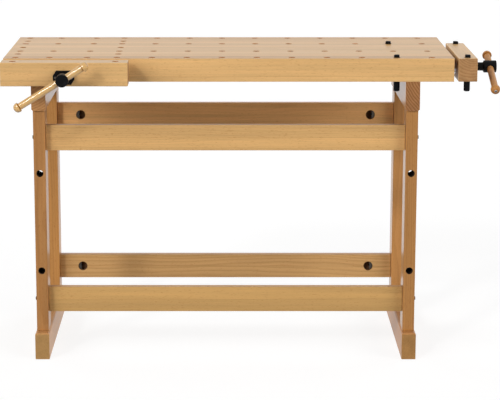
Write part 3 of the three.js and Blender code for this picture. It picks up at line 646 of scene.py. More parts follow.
def drilling_tree():
    """Clears one drill's shape from a board at every place given, and finishes the walls of the holes."""
    n, given = new_tree("drilled board", "GeometryNodeTree", {
        "Board": "Geometry", "Places": "Object", "Drill": "Object", "Finish": "Material",
        "Bore Finish": "Material",
    }, {"Board": "Geometry"})
    places = n.add("GeometryNodeObjectInfo", {"Object": given["Places"]}).outputs["Geometry"]
    tool = n.add("GeometryNodeObjectInfo", {"Object": given["Drill"]}).outputs["Geometry"]
    marked = n.add("GeometryNodeStoreNamedAttribute", {
        "Geometry": tool, "Name": BORED, "Value": True}, data_type="BOOLEAN", domain="FACE")
    holes = n.add("GeometryNodeInstanceOnPoints", {"Points": places, "Instance": marked.outputs[0]})
    holes = n.add("GeometryNodeRealizeInstances", {"Geometry": holes.outputs[0]})
    cut = n.add("GeometryNodeMeshBoolean", {
        "Mesh 1": given["Board"], "Mesh 2": holes.outputs[0]}, operation="DIFFERENCE", solver="EXACT")
    bored = n.add("GeometryNodeInputNamedAttribute", {"Name": BORED}, data_type="BOOLEAN")
    done = n.add("GeometryNodeSetMaterial", {
        "Geometry": n.finished(cut.outputs[0], given["Finish"]), "Selection": bored.outputs[0],
        "Material": given["Bore Finish"]})
    n.add("NodeGroupOutput", {"Board": done.outputs[0]})


def copies_tree():
    """Puts a copy of one shape at every place given, turned as the place says."""
    n, given = new_tree("copies at places", "GeometryNodeTree", {
        "Places": "Geometry", "Shape": "Object", "Finish": "Material"}, {"Copies": "Geometry"})
    shape = n.add("GeometryNodeObjectInfo", {"Object": given["Shape"]}).outputs["Geometry"]
    turn = n.add("GeometryNodeInputNamedAttribute", {"Name": TURN}, data_type="FLOAT_VECTOR")
    copied = n.add("GeometryNodeInstanceOnPoints", {
        "Points": given["Places"], "Instance": shape, "Rotation": turn.outputs[0]})
    n.add("NodeGroupOutput", {"Copies": n.finished(copied.outputs[0], given["Finish"])})


def thread_tree():
    """A right-hand trapezoidal thread along Z, from a grid wound round it, with both ends closed."""
    n, given = new_tree("vise thread", "GeometryNodeTree", {
        "Start": "Geometry", "Length": "Float", "Radius": "Float", "Depth": "Float", "Lead": "Float",
        "Sides": "Int", "Rows": "Int", "Finish": "Material",
    }, {"Thread": "Geometry"})
    grid = n.add("GeometryNodeMeshGrid", {
        "Size X": 1.0, "Size Y": 1.0, "Vertices X": given["Sides"], "Vertices Y": given["Rows"]})
    x, y, _ = n.split(n.add("GeometryNodeInputPosition").outputs[0])
    turn = n.total(x, 0.5)

    # The first and last rows close the ends on the axis
    cap = n.math("DIVIDE", given["Length"], n.less(given["Rows"], CLOSING_ROWS))
    reach = n.total(given["Length"], cap, cap)
    run = n.less(n.times(n.total(y, 0.5), reach), cap)
    height = n.limited(run, 0.0, given["Length"])
    inside = n.math("LESS_THAN", n.math("ABSOLUTE", n.less(run, height)), n.times(cap, 0.5))

    # Crest, flanks and root each take a third of the lead
    phase = n.math("FRACT", n.less(n.math("DIVIDE", height, given["Lead"]), turn))
    swing = n.math("ABSOLUTE", n.less(phase, 0.5))
    ridge = n.limited(n.less(n.times(swing, 6.0), 1.0), 0.0, 1.0)
    radius = n.times(n.less(given["Radius"], n.times(given["Depth"], ridge)), inside)
    angle = n.times(turn, 2 * math.pi)
    spot = n.join(n.times(radius, n.math("COSINE", angle)), n.times(radius, n.math("SINE", angle)), height)
    wound = n.add("GeometryNodeSetPosition", {"Geometry": grid.outputs[0], "Position": spot})
    closed = n.add("GeometryNodeMergeByDistance", {"Geometry": wound.outputs[0], "Distance": THREAD_CLOSING})
    n.add("NodeGroupOutput", {"Thread": n.finished(closed.outputs[0], given["Finish"])})


def scratch(mesh):
    """An object that only serves to make another."""
    helper = bpy.data.objects.new("scratch", mesh)
    bpy.context.scene.collection.objects.link(helper)
    return helper


def through_nodes(mesh, tree_name, steps):
    """The plain mesh that a node tree makes of a mesh, with each step's inputs by name in turn."""
    tree = bpy.data.node_groups[tree_name]
    ids = {item.name: item.identifier for item in tree.interface.items_tree if item.in_out == "INPUT"}
    holder = scratch(mesh)
    helpers = [holder]
    for values in steps:
        modifier = holder.modifiers.new(tree_name, "NODES")
        modifier.node_group = tree
        for name, value in values.items():
            if isinstance(value, bpy.types.Mesh):
                value = scratch(value)
                helpers.append(value)
            modifier[ids[name]] = value
    bpy.context.view_layer.update()
    result = bpy.data.meshes.new_from_object(holder.evaluated_get(bpy.context.evaluated_depsgraph_get()))
    for helper in helpers:
        used = helper.data
        bpy.data.objects.remove(helper)
        bpy.data.meshes.remove(used)
    return result


def points(places, turns=()):
    """Loose points, each with the turn that a copy there takes."""
    mesh = bpy.data.meshes.new("places")
    mesh.from_pydata([tuple(p) for p in places], [], [])
    attribute = mesh.attributes.new(TURN, "FLOAT_VECTOR", "POINT")
    for entry, turn in zip(attribute.data, turns):
        entry.vector = turn
    return mesh


def drilled(shape, holes, finish, bore=None):
    """A board with its holes. Each hole group is a drill shape and the places where it goes in."""
    steps = []
    for tool, places in holes:
        steps.append({
            "Places": points(places), "Drill": to_mesh(tool, "drill"), "Finish": finish,
            "Bore Finish": bore or finish})
    return through_nodes(to_mesh(shape, "board"), "drilled board", steps)


def copies(shape, places, turns, finish):
    step = {"Shape": to_mesh(shape, "shape"), "Finish": finish}
    return through_nodes(points(places, turns), "copies at places", [step])


# Pieces

SMOOTH_ANGLE = math.radians(40)


def add_piece(name, mesh, body, nodes, finish):
    """Puts a mesh in the scene as a piece of the bench that stands for CAD nodes and moves with a body."""
    mesh.name = name
    if not mesh.materials:
        mesh.materials.append(finish)
    for helper in (BORED, TURN):
        if helper in mesh.attributes:
            mesh.attributes.remove(mesh.attributes[helper])
    mesh.polygons.foreach_set("use_smooth", [True] * len(mesh.polygons))
    mesh.set_sharp_from_angle(angle=SMOOTH_ANGLE)
    piece = bpy.data.objects.new(name, mesh)
    bpy.context.scene.collection.objects.link(piece)
    normals = piece.modifiers.new("flat faces stay flat", "WEIGHTED_NORMAL")
    normals.keep_sharp = True
    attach(piece, body)
    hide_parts(*nodes)


# Layout of the vises

SCREW_RADIUS = 10 * MM
ROD_RADIUS = 8 * MM
SHAFT_RIM = 0.3 * MM
HANDLE_FROM_HUB_END = 19 * MM


class Vise:
    """One vise's pieces and directions: out of the bench, and along its handle towards the short end."""

    def __init__(self, name, rods, outward, jaw_axis):
        self.name = name
        self.rods = rods
        self.out = Vector(outward)
        self.side = UP.cross(self.out)
        self.jaw_axis = jaw_axis
        joint = next(j for j in frame["joints"] if j["name"] == f"{name}_handle_slide")
        self.along = Vector(joint["axis"]).normalized()

    def node(self, piece):
        return f"{self.name}_{piece}"

    def spread(self, piece):
        """How far out of the bench a piece reaches, from its inner to its outer end."""
        ends = [corner.dot(self.out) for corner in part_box(self.node(piece))]
        return min(ends), max(ends)

    def half_width(self, piece):
        low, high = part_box(self.node(piece))
        return abs((high - low).dot(self.side)) / 2

    def on_axis(self, piece, distance):
        """The point at a distance out of the bench on the axis of a piece."""
        centre = middle(*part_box(self.node(piece)))
        return centre + self.out * (distance - centre.dot(self.out))

    def on_screw(self, distance):
        return self.on_axis("screw", distance)

    def hub_middle(self):
        return self.on_screw(self.spread("hub")[1] - HANDLE_FROM_HUB_END)

    def bores(self, low, high):
        """The ways of the screw and the rods through the wood behind the jaw."""
        depth = abs((high - low).dot(self.out))
        face = max(low.dot(self.out), high.dot(self.out))
        shafts = {"screw": SCREW_RADIUS, **{f"{rod}_guide_rod": ROD_RADIUS for rod in self.rods}}
        groups = []
        for piece, radius in shafts.items():
            tool = drill(radius + SEAT, -depth - PAST, 0.0, SHAFT_RIM)
            groups.append((placed(tool, self.out), [self.on_axis(piece, face)]))
        return groups

    def add(self, name, mesh, body, nodes, slot, finish):
        """Adds a piece of the vise that rides on one of its bodies and stands for its nodes."""
        add_piece(self.node(name), mesh, self.node(body), [self.node(node) for node in nodes], finish)


VISES = {
    "front": Vise("front", ("left", "right"), (0, -1, 0), "x"),
    "tail": Vise("tail", ("front", "back"), (1, 0, 0), "y"),
}


# Bench top

OUTER_COLUMN = 33.5 * MM
COLUMN_STEPS = (99 * MM, 109.5 * MM, 87 * MM)
COLUMN_PITCH = 102 * MM
PITCHED_COLUMNS = 9
VISE_COLUMNS = (0, 3)  # the two columns that also go through the front jaw
INNER_ROW_OFFSET = 85 * MM
MIDDLE_ROW_OFFSET = 150 * MM
EDGE_ROW_INSET = 25 * MM
DOG_HOLE_RADIUS = 9.5 * MM
TONGUE_HEIGHT = 8 * MM
TONGUE_LENGTH = 10 * MM
PANEL_STAVE = 49 * MM
PANEL_EDGE = 0.4 * MM
RAIL_EDGE = 0.5 * MM
APRON_SEAM_DROP = 53 * MM
TOP_LOW, TOP_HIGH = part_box("front_apron")[0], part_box("back_apron")[1]


def columns():
    """Middles of the dog-hole columns along the top."""
    found = [TOP_LOW.x + OUTER_COLUMN]
    for step in (*COLUMN_STEPS, *[COLUMN_PITCH] * PITCHED_COLUMNS):
        found.append(found[-1] + step)
    return found


def rows():
    """Middles of the dog-hole rows: those of the aprons, the full rows and the short ones."""
    centre = (TOP_LOW.y + TOP_HIGH.y) / 2
    edges = (TOP_LOW.y + EDGE_ROW_INSET, TOP_HIGH.y - EDGE_ROW_INSET)
    full = (centre - INNER_ROW_OFFSET, centre + INNER_ROW_OFFSET)
    short = (centre - MIDDLE_ROW_OFFSET, centre, centre + MIDDLE_ROW_OFFSET)
    return edges, full, short


def dog_drill(low, high):
    return drill(DOG_HOLE_RADIUS, low.z - PAST, high.z, bpy.context.scene.bench_wood.hole_rim)


def add_top_board(name, node, shape, holes, finish):
    mesh = drilled(shape, holes, finish, dog_bore())
    add_piece(name, mesh, FRAME_BODY, [node], finish)


def panel_board(wood):
    """The middle of the top, with a tongue along each side."""
    low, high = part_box("top_panel")
    rise = (high.z - low.z - TONGUE_HEIGHT) / 2
    front, back = low.y + TONGUE_LENGTH, high.y - TONGUE_LENGTH
    outline = [
        (front, low.z), (back, low.z), (back, low.z + rise), (high.y, low.z + rise),
        (high.y, high.z - rise), (back, high.z - rise), (back, high.z), (front, high.z),
        (front, high.z - rise), (low.y, high.z - rise), (low.y, low.z + rise), (front, low.z + rise),
    ]
    panel = prism("x", outline, low.x, high.x)
    bevel(panel, PANEL_EDGE)
    _, full, short = rows()
    spots = columns()
    places = [(x, y, 0) for y in full for x in spots]
    places += [(spots[i], y, 0) for y in short for i in VISE_COLUMNS]
    finish = sawn("top_panel", wood.top_tone, GRAIN_TURNS["x"], ring_contrast=0.2, stave_spread=0.09,
                  stave_width=(UNDIVIDED, PANEL_STAVE, UNDIVIDED), stave_phase=(0.5, 0.0, 0.5))
    add_top_board("panel_board", "top_panel", panel, [(dog_drill(low, high), places)], finish)


def apron_board(node, row, inward, wood):
    """An apron with its groove for the panel's tongue on the inward side."""
    low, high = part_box(node)
    outer, face = (low.y, high.y) if inward > 0 else (high.y, low.y)
    panel_low, panel_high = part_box("top_panel")
    tongue_low = middle(panel_low, panel_high).z - TONGUE_HEIGHT / 2 - SEAT
    tongue_high = tongue_low + TONGUE_HEIGHT + 2 * SEAT
    groove = face - inward * (TONGUE_LENGTH + SEAT)
    outline = [
        (outer, low.z), (face, low.z), (face, tongue_low), (groove, tongue_low), (groove, tongue_high),
        (face, tongue_high), (face, high.z), (outer, high.z),
    ]
    apron = prism("x", outline, low.x, high.x)
    bevel(apron, wood.edge_round, chosen=lambda e: all(abs(v.co.y - outer) < SEAT for v in e.verts))
    seam = (high.z - APRON_SEAM_DROP - middle(low, high).z) / APRON_SEAM_DROP
    finish = sawn(node, wood.top_tone, GRAIN_TURNS["x"], stave_width=(UNDIVIDED, UNDIVIDED, APRON_SEAM_DROP),
                  stave_phase=(0.5, 0.5, -seam), stave_spread=0.05)
    holes = [(dog_drill(low, high), [(x, row, 0) for x in columns()])]
    if node == "front_apron":
        holes += VISES["front"].bores(low, high)
    add_top_board(f"{node}_board", node, apron, holes, finish)


def end_rail(node, wood):
    low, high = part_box(node)
    rail = block(low, high)
    bevel(rail, RAIL_EDGE)
    finish = sawn(node, wood.top_tone, GRAIN_TURNS["y"])
    _, full, short = rows()
    if node == "left_end_rail":
        holes = [(dog_drill(low, high), [(columns()[0], y, 0) for y in (*full, *short)])]
    else:
        holes = VISES["tail"].bores(low, high)
    add_top_board(f"{node}_board", node, rail, holes, finish)


class BENCH_OT_top(bpy.types.Operator):
    """Makes the panel, the aprons and the end rails of the bench top"""

    bl_idname = "bench.top"
    bl_label = "Bench Top"

    def execute(self, context):
        wood = context.scene.bench_wood
        edges, _, _ = rows()
        panel_board(wood)
        apron_board("front_apron", edges[0], 1, wood)
        apron_board("back_apron", edges[1], -1, wood)
        end_rail("left_end_rail", wood)
        end_rail("right_end_rail", wood)
        return {"FINISHED"}


# Trestles

BEAM_CHAMFER = 4.5 * MM
BEAM_EDGE = 0.7 * MM
BEAM_RING = 7.5 * MM
FOOT_CHAMFER = 4 * MM
FOOT_EDGE = 0.6 * MM
LEG_HOLE_RADIUS = 10 * MM
LEG_HOLE_HEIGHTS = (265 * MM, 559 * MM)
LEG_RING = 6 * MM
FOOT_END_TONE = (0.79, 0.9, 0.88, 1.0)
# End-grain tones of the crossbeams: the right is the wood's darker end grain; the left is painted lighter to
# lift the shade that the front jaw casts on it
BEAM_END_TONES_AND_PAINTED_LIGHT = {"left": (1.0, 1.04, 1.09, 1.0), "right": (0.76, 0.73, 0.76, 1.0)}
BEAM_END_CONTRASTS = {"left": 0.6, "right": 1.0}
LEG_GLOSS = {"left": OILED, "right": LACQUERED}


def add_trestle_part(name, node, mesh, finish):
    add_piece(name, mesh, FRAME_BODY, [node], finish)


def foot_board(side, wood):
    node = f"{side}_foot"
    low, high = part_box(node)
    foot = block(low, high)
    bevel(foot, FOOT_CHAMFER, 1, lambda e: all(v.co.z > high.z - SEAT for v in e.verts))
    bevel(foot, FOOT_EDGE)
    finish = sawn(node, wood.trestle_tone, GRAIN_TURNS["y"], WAXED, end_tone=FOOT_END_TONE, end_contrast=0.2)
    add_trestle_part(f"{node}_board", node, to_mesh(foot, "foot"), finish)


def crossbeam_board(side, wood):
    node = f"{side}_crossbeam"
    low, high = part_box(node)
    outline = [
        (low.x + BEAM_CHAMFER, low.z), (high.x - BEAM_CHAMFER, low.z), (high.x, low.z + BEAM_CHAMFER),
        (high.x, high.z), (low.x, high.z), (low.x, low.z + BEAM_CHAMFER),
    ]
    beam = prism("y", outline, low.y, high.y)
    bevel(beam, BEAM_EDGE)
    finish = sawn(node, wood.trestle_tone, GRAIN_TURNS["y"], LACQUERED, ring_width=BEAM_RING,
                  end_contrast=BEAM_END_CONTRASTS[side], end_tone=BEAM_END_TONES_AND_PAINTED_LIGHT[side])
    add_trestle_part(f"{node}_board", node, to_mesh(beam, "beam"), finish)


def leg_post(side, place, wood):
    """A leg between its shoulders, the front ones with peg holes, and the finish of the dowel above it."""
    node = f"{side}_{place}_leg"
    low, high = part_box(node)
    low.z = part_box(f"{side}_foot")[1].z + SEAT
    high.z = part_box(f"{side}_crossbeam")[0].z - SEAT
    leg = block(low, high)
    bevel(leg, wood.edge_round)
    finish = sawn(node, wood.trestle_tone, GRAIN_TURNS["z"], LEG_GLOSS[side], ring_width=LEG_RING,
                  ring_contrast=0.26)
    holes = []
    if place == "front":
        tool = drill(LEG_HOLE_RADIUS, low.y, high.y, wood.hole_rim, True)
        holes.append((placed(tool, AXES["y"]), [(middle(low, high).x, 0, z) for z in LEG_HOLE_HEIGHTS]))
    add_trestle_part(f"{node}_post", node, drilled(leg, holes, finish, deep_bore()), finish)
    for slot in frame["nodes"][f"{side}_{place}_top_dowel"].material_slots:
        slot.material = finish


class BENCH_OT_trestles(bpy.types.Operator):
    """Makes the feet, legs and crossbeams, and finishes the dowels that hold the top"""

    bl_idname = "bench.trestles"
    bl_label = "Trestles"

    def execute(self, context):
        wood = context.scene.bench_wood
        for side in ("left", "right"):
            foot_board(side, wood)
            crossbeam_board(side, wood)
            leg_post(side, "front", wood)
            leg_post(side, "back", wood)
        return {"FINISHED"}


# Stretchers and their fasteners

NUT_HOLE_RADIUS = 14 * MM
NUT_HOLE_INSET = 72 * MM
NUT_HOLE_FLOOR = 5 * MM
NUT_THICKNESS = 9 * MM
NUT_DEPTH = 13 * MM
NUT_EDGE = 0.9 * MM
NUT_STEPS = 16
BOLT_RADIUS = 3 * MM
BOLT_HEAD_WIDTH = 10 * MM
BOLT_HEAD_HEIGHT = 5 * MM
BOLT_HEAD_EDGE = 0.7 * MM
WASHER_FACE = 0.6 * MM
BOLT_POINT = 0.5 * MM
WASHER_SIDES = 36
SHANK_SIDES = 24
STRETCHERS = [(height, place) for height in ("upper", "lower") for place in ("front", "back")]
STRETCHER_FIGURES = {
    "upper_front_stretcher": {"half_light": -0.04}, "lower_front_stretcher": {"half_light": 0.06},
    "upper_back_stretcher": {"half_light": 0.05},
    "lower_back_stretcher": {"ring_contrast": 0.34, "ring_width": 6 * MM},
}


def stretcher_rail(node, place, wood):
    """A stretcher glued of two halves, with a nut hole near each end on its inner side."""
    low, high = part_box(node)
    rail = block(low, high)
    bevel(rail, wood.edge_round)
    half = (high.z - low.z) / 2
    figure = {
        "stave_width": (UNDIVIDED, UNDIVIDED, half), "stave_phase": (0.5, 0.5, 0.0), "stave_spread": 0.05,
        "ring_contrast": 0.15, **STRETCHER_FIGURES[node],
    }
    finish = sawn(node, wood.stretcher_tone, GRAIN_TURNS["x"], **figure)
    inward, face = (1, high.y) if place == "front" else (-1, low.y)
    depth = high.y - low.y - NUT_HOLE_FLOOR
    tool = placed(drill(NUT_HOLE_RADIUS, -depth, 0.0, wood.hole_rim), (0, inward, 0))
    spots = [(x, face, low.z + half) for x in (low.x + NUT_HOLE_INSET, high.x - NUT_HOLE_INSET)]
    mesh = drilled(rail, [(tool, spots)], finish, nut_bore())
    add_piece(f"{node}_rail", mesh, FRAME_BODY, [node], finish)


class BENCH_OT_stretchers(bpy.types.Operator):
    """Makes the four stretchers with their nut holes"""

    bl_idname = "bench.stretchers"
    bl_label = "Stretchers"

    def execute(self, context):
        for height, place in STRETCHERS:
            stretcher_rail(f"{height}_{place}_stretcher", place, context.scene.bench_wood)
        return {"FINISHED"}


def hex_bolt(bolt_length):
    """A bolt along -Z, its head's underside at the origin, with a chamfered hexagon and a washer face."""
    flat = BOLT_HEAD_WIDTH / 2
    corner = flat / math.cos(math.pi / HEXAGON)
    head = prism("z", circle(corner, HEXAGON), WASHER_FACE, BOLT_HEAD_HEIGHT)
    bevel(head, BOLT_HEAD_EDGE, 2)
    washer = lathe([(0, 0), (flat, 0), (flat, WASHER_FACE), (0, WASHER_FACE)], WASHER_SIDES)
    shank = lathe([
        (0, -bolt_length), (BOLT_RADIUS - BOLT_POINT, -bolt_length), (BOLT_RADIUS, BOLT_POINT - bolt_length),
        (BOLT_RADIUS, 0), (0, 0),
    ], SHANK_SIDES)
    return merged([head, washer, shank])


def half_moon_nut():
    """A nut cut from a disc, its round side towards +X and its axis along Y."""
    radius = NUT_HOLE_RADIUS - SEAT
    reach = math.degrees(math.acos((NUT_HOLE_RADIUS - NUT_THICKNESS) / radius))
    nut = prism("y", arc((0, 0), radius, -reach, reach, NUT_STEPS), -NUT_DEPTH / 2, NUT_DEPTH / 2)
    bevel(nut, NUT_EDGE, 2)
    return nut


class BENCH_OT_fasteners(bpy.types.Operator):
    """Makes the bolts and half-moon nuts of the stretchers"""

    bl_idname = "bench.fasteners"
    bl_label = "Fasteners"

    def execute(self, context):
        bolts, nuts, bolt_turns, nut_turns = {}, {}, [], []
        for height, place in STRETCHERS:
            for side, outward in (("left", -1), ("right", 1)):
                name = f"{height}_{place}_{side}"
                leg_low, leg_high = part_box(f"{side}_{place}_leg")
                seat = middle(*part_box(f"{name}_bolt"))
                seat.x = leg_low.x - SEAT if outward < 0 else leg_high.x + SEAT
                bolts[f"{name}_bolt"] = seat
                bolt_turns.append((0, outward * math.pi / 2, 0))
                nut_low, nut_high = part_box(f"{name}_nut")
                centre = middle(nut_low, nut_high)
                round_side = nut_low.x if outward < 0 else nut_high.x
                centre.x = round_side - outward * (NUT_HOLE_RADIUS - SEAT)
                nuts[f"{name}_nut"] = centre
                nut_turns.append((0, (1 - outward) * math.pi / 2, 0))
        low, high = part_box("upper_front_left_bolt")
        bolt = hex_bolt(high.x - low.x - BOLT_HEAD_HEIGHT)
        mesh = copies(bolt, bolts.values(), bolt_turns, iron())
        add_piece("stretcher_bolts", mesh, FRAME_BODY, list(bolts), iron())
        mesh = copies(half_moon_nut(), nuts.values(), nut_turns, zinc())
        add_piece("stretcher_nuts", mesh, FRAME_BODY, list(nuts), zinc())
        return {"FINISHED"}


# Bench dogs

DOG_FACE_DEPTH = 2.5 * MM
DOG_FACE_HEIGHT = 14 * MM
DOG_RIB_DEPTH = 0.7 * MM
DOG_POINT = 2 * MM
DOG_CHAMFER = 2 * MM
DOG_RIB_TOP = 34 * MM  # from the head down to the ribs
DOG_RIB_RUNOUT = 2 * MM
SIDES_PER_RIB = 6
SAME_POINT = 0.001 * MM


def dog_shape(radius, stem_length, ribs, facing):
    """A ribbed stem along -Z with its top at the origin, and a flat working face cut into the head."""
    sides = ribs * SIDES_PER_RIB
    # Height, radius and ribs of each ring, from the point up, and whether the working face cuts it
    levels = [
        (-stem_length, radius - DOG_POINT - DOG_RIB_DEPTH, 0, False),
        (DOG_POINT - stem_length, radius, 0, False),
        (2 * DOG_POINT - stem_length, radius, 1, False),
        (-DOG_RIB_TOP, radius, 1, False),
        (DOG_RIB_RUNOUT - DOG_RIB_TOP, radius, 0, False),
        (-DOG_FACE_HEIGHT, radius, 0, False),
        (-DOG_FACE_HEIGHT, radius, 0, True),
        (-DOG_CHAMFER, radius, 0, True),
        (0, radius - DOG_CHAMFER, 0, True),
    ]
    shape = bmesh.new()
    rings = []
    for height, size, ribbed, faced in levels:
        ring = []
        for i in range(sides):
            angle = 2 * math.pi * i / sides
            reach = size - DOG_RIB_DEPTH * ribbed * (0.5 + 0.5 * math.cos(ribs * angle))
            x, y = reach * math.cos(angle), reach * math.sin(angle)
            if faced:
                x = facing * min(facing * x, radius - DOG_FACE_DEPTH)
            ring.append(shape.verts.new((x, y, height)))
        rings.append(ring)
    for lower, upper in zip(rings, rings[1:]):
        for i in range(sides):
            shape.faces.new((lower[i - 1], lower[i], upper[i], upper[i - 1]))
    shape.faces.new(rings[0])
    shape.faces.new(rings[-1])
    bmesh.ops.remove_doubles(shape, verts=shape.verts, dist=SAME_POINT)
    bmesh.ops.dissolve_degenerate(shape, edges=shape.edges, dist=SAME_POINT)
    return shape


class BENCH_OT_dogs(bpy.types.Operator):
    """Makes the four bench dogs"""

    bl_idname = "bench.dogs"
    bl_label = "Bench Dogs"

    def execute(self, context):
        ribs = context.scene.bench_metal.dog_ribs
        for place in ("front", "back"):
            for home, facing in (("bench", 1), ("tail", -1)):
                node = f"{place}_{home}_dog"
                low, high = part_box(node)
                shape = dog_shape((high.y - low.y) / 2, high.z - low.z, ribs, facing)
                at = middle(low, high)
                at.z = high.z
                mesh = to_mesh(placed(shape, UP, at), node)
                add_piece(f"{node}_stem", mesh, node, [node], plastic())
        return {"FINISHED"}


# Vises

JAW_RING = 8 * MM
SCREW_LEAD = 6 * MM
THREAD_SIDES = 25  # round one turn, with the first and the last at the same place
THREAD_ROWS = 10  # for each turn
ROD_EDGE = 1 * MM
COLLAR_LENGTH = 6 * MM
COLLAR_RADIUS = 16 * MM
COLLAR_PLAY = 1 * MM
JOURNAL_RADIUS = 8 * MM
NECK_LENGTH = 27 * MM
NECK_RADIUS = 12.5 * MM
NECK_FLARE = 2.5 * MM
HUB_RADIUS = 18.25 * MM
HUB_EDGE = 2.5 * MM
HUB_SIDES = 64
HUB_STEPS = 5
DISH_DEPTH = 0.6 * MM
DISH_RIM = 0.55 * HUB_RADIUS
DISH_FLOOR = 0.5 * HUB_RADIUS
HANDLE_RADIUS = 10 * MM
HANDLE_GLOSS = {"front": POLISHED, "tail": OILED}
HANDLE_END_TONE = (0.9, 0.85, 0.8, 1.0)
SPIGOT_RADIUS = 5 * MM
GROOVE_WIDTH = 2.8 * MM
GROOVE_DEPTH = 2.8 * MM
KNOB_RADIUS = 14 * MM
KNOB_LENGTH = 17 * MM
KNOB_RIM = 6 * MM
KNOB_EDGE = 0.6 * MM
KNOB_STEP = 0.6 * MM
KNOB_RECESS = 5.2 * MM
KNOB_RECESS_DEPTH = 2 * MM
KNOB_EDGE_STEPS = 3
KNOB_DOME_STEPS = 14
KNOB_SCREW_RADIUS = 4.7 * MM
PLATE_CORNER_WIDTH = 9 * MM
PLATE_CORNER_HEIGHT = 14 * MM
PLATE_EDGE = 1.2 * MM
PLATE_SCREW_SHARE = 0.76  # how far out the screws sit, as a share of half the width
FLANGE_THICKNESS = 8 * MM
NUT_RADIUS = 17 * MM
NUT_CHAMFER = 1.5 * MM
NUT_SCREW_RISE = 9 * MM
NUT_SCREW_SHARE = 0.8
SCREW_HEAD_RADIUS = 3.6 * MM
SCREW_HEAD_HEIGHT = 1.8 * MM
SCREW_HEAD_SIDES = 32
SCREW_HEAD_STEPS = 6
RECESS_SHARE = 0.55  # the recess's reach beside the head's radius
RECESS_FLOOR = 0.35  # the recess's floor beside the head's height
CROSS_WIDTH = 0.23  # half the width of a cross's arms beside their reach


def jaw_board(vise, wood):
    low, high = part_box(vise.node("jaw"))
    jaw = block(low, high)
    bevel(jaw, wood.jaw_round)
    finish = sawn(vise.node("jaw"), wood.top_tone, GRAIN_TURNS[vise.jaw_axis], ring_width=JAW_RING)
    centre = middle(low, high)
    edges, full, _ = rows()
    if vise.name == "front":
        spots = [(columns()[i], centre.y, 0) for i in VISE_COLUMNS]
    else:
        spots = [(centre.x, y, 0) for y in (edges[0], full[1])]
    inner, outer = vise.spread("jaw")
    holes = [(dog_drill(low, high), spots)]
    screw_way = drill(SCREW_RADIUS + SEAT, inner - PAST, outer, SHAFT_RIM)
    collar_seat = drill(COLLAR_RADIUS + COLLAR_PLAY, outer - COLLAR_LENGTH - SEAT, outer)
    for tool in (screw_way, collar_seat):
        holes.append((placed(tool, vise.out), [vise.on_screw(0)]))
    for rod in vise.rods:
        piece = f"{rod}_guide_rod"
        _, end = vise.spread(piece)
        tool = drill(ROD_RADIUS + SEAT, -(end + SEAT), -inner, SHAFT_RIM)
        holes.append((placed(tool, -vise.out), [vise.on_axis(piece, 0)]))
    vise.add("jaw_board", drilled(jaw, holes, finish, dog_bore()), "jaw", ["jaw"], "beech_top", finish)


def cross_outline(arm):
    """The outline of a cross recess that reaches that far from its middle."""
    half = CROSS_WIDTH * arm
    return [
        (half, half), (half, arm), (-half, arm), (-half, half), (-arm, half), (-arm, -half),
        (-half, -half), (-half, -arm), (half, -arm), (half, -half), (arm, -half), (arm, half),
    ]


def screw_head(radius, height, recess, finish):
    """A domed screw head along Z, its seat at the origin, with a recess of the outline given whose walls are
    painted black as shade.
    """
    dome = [(radius * x, height * z) for x, z in arc((0, 0), 1.0, 0, 90, SCREW_HEAD_STEPS)]
    head = lathe([(0, 0), *dome], SCREW_HEAD_SIDES)
    driver = prism("z", recess, height * RECESS_FLOOR, height + PAST)
    # The recess walls take the black iron as painted shade.
    return drilled(head, [(driver, [(0, 0, 0)])], finish, iron())


def plate_screws(name, body, spots, axis):
    """Cross-head screws at the places given, their heads towards an axis."""
    recess = cross_outline(RECESS_SHARE * SCREW_HEAD_RADIUS)
    head = screw_head(SCREW_HEAD_RADIUS, SCREW_HEAD_HEIGHT, recess, zinc())
    turn = pointing(axis).to_euler()
    mesh = copies(to_shape(head), spots, [turn] * len(spots), zinc())
    add_piece(name, mesh, body, [], zinc())


def thrust_plate(vise):
    """The plate with clipped corners that holds the screw's collar in the jaw, and its two screws."""
    inner, outer = vise.spread("thrust_plate")
    low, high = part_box(vise.node("thrust_plate"))
    half_width, half_height = vise.half_width("thrust_plate"), (high.z - low.z) / 2
    short_width, short_height = half_width - PLATE_CORNER_WIDTH, half_height - PLATE_CORNER_HEIGHT
    outline = [
        (short_width, -half_height), (half_width, -short_height), (half_width, short_height),
        (short_width, half_height), (-short_width, half_height), (-half_width, short_height),
        (-half_width, -short_height), (-short_width, -half_height),
    ]
    plate = prism("z", outline, 0, outer - inner)
    bevel(plate, PLATE_EDGE)
    upright = Matrix((vise.side, UP, vise.out)).transposed()
    place = Matrix.Translation(vise.on_screw(inner)) @ upright.to_4x4()
    bmesh.ops.transform(plate, matrix=place, verts=plate.verts)
    way = placed(drill(JOURNAL_RADIUS + SEAT, inner - PAST, outer, SHAFT_RIM), vise.out)
    mesh = drilled(plate, [(way, [vise.on_screw(0)])], iron())
    vise.add("thrust_casting", mesh, "jaw", ["thrust_plate"], "black_iron", iron())
    reach = PLATE_SCREW_SHARE * half_width
    spots = [vise.on_screw(outer) + vise.side * reach * sign for sign in (1, -1)]
    plate_screws(vise.node("plate_screws"), vise.node("jaw"), spots, vise.out)


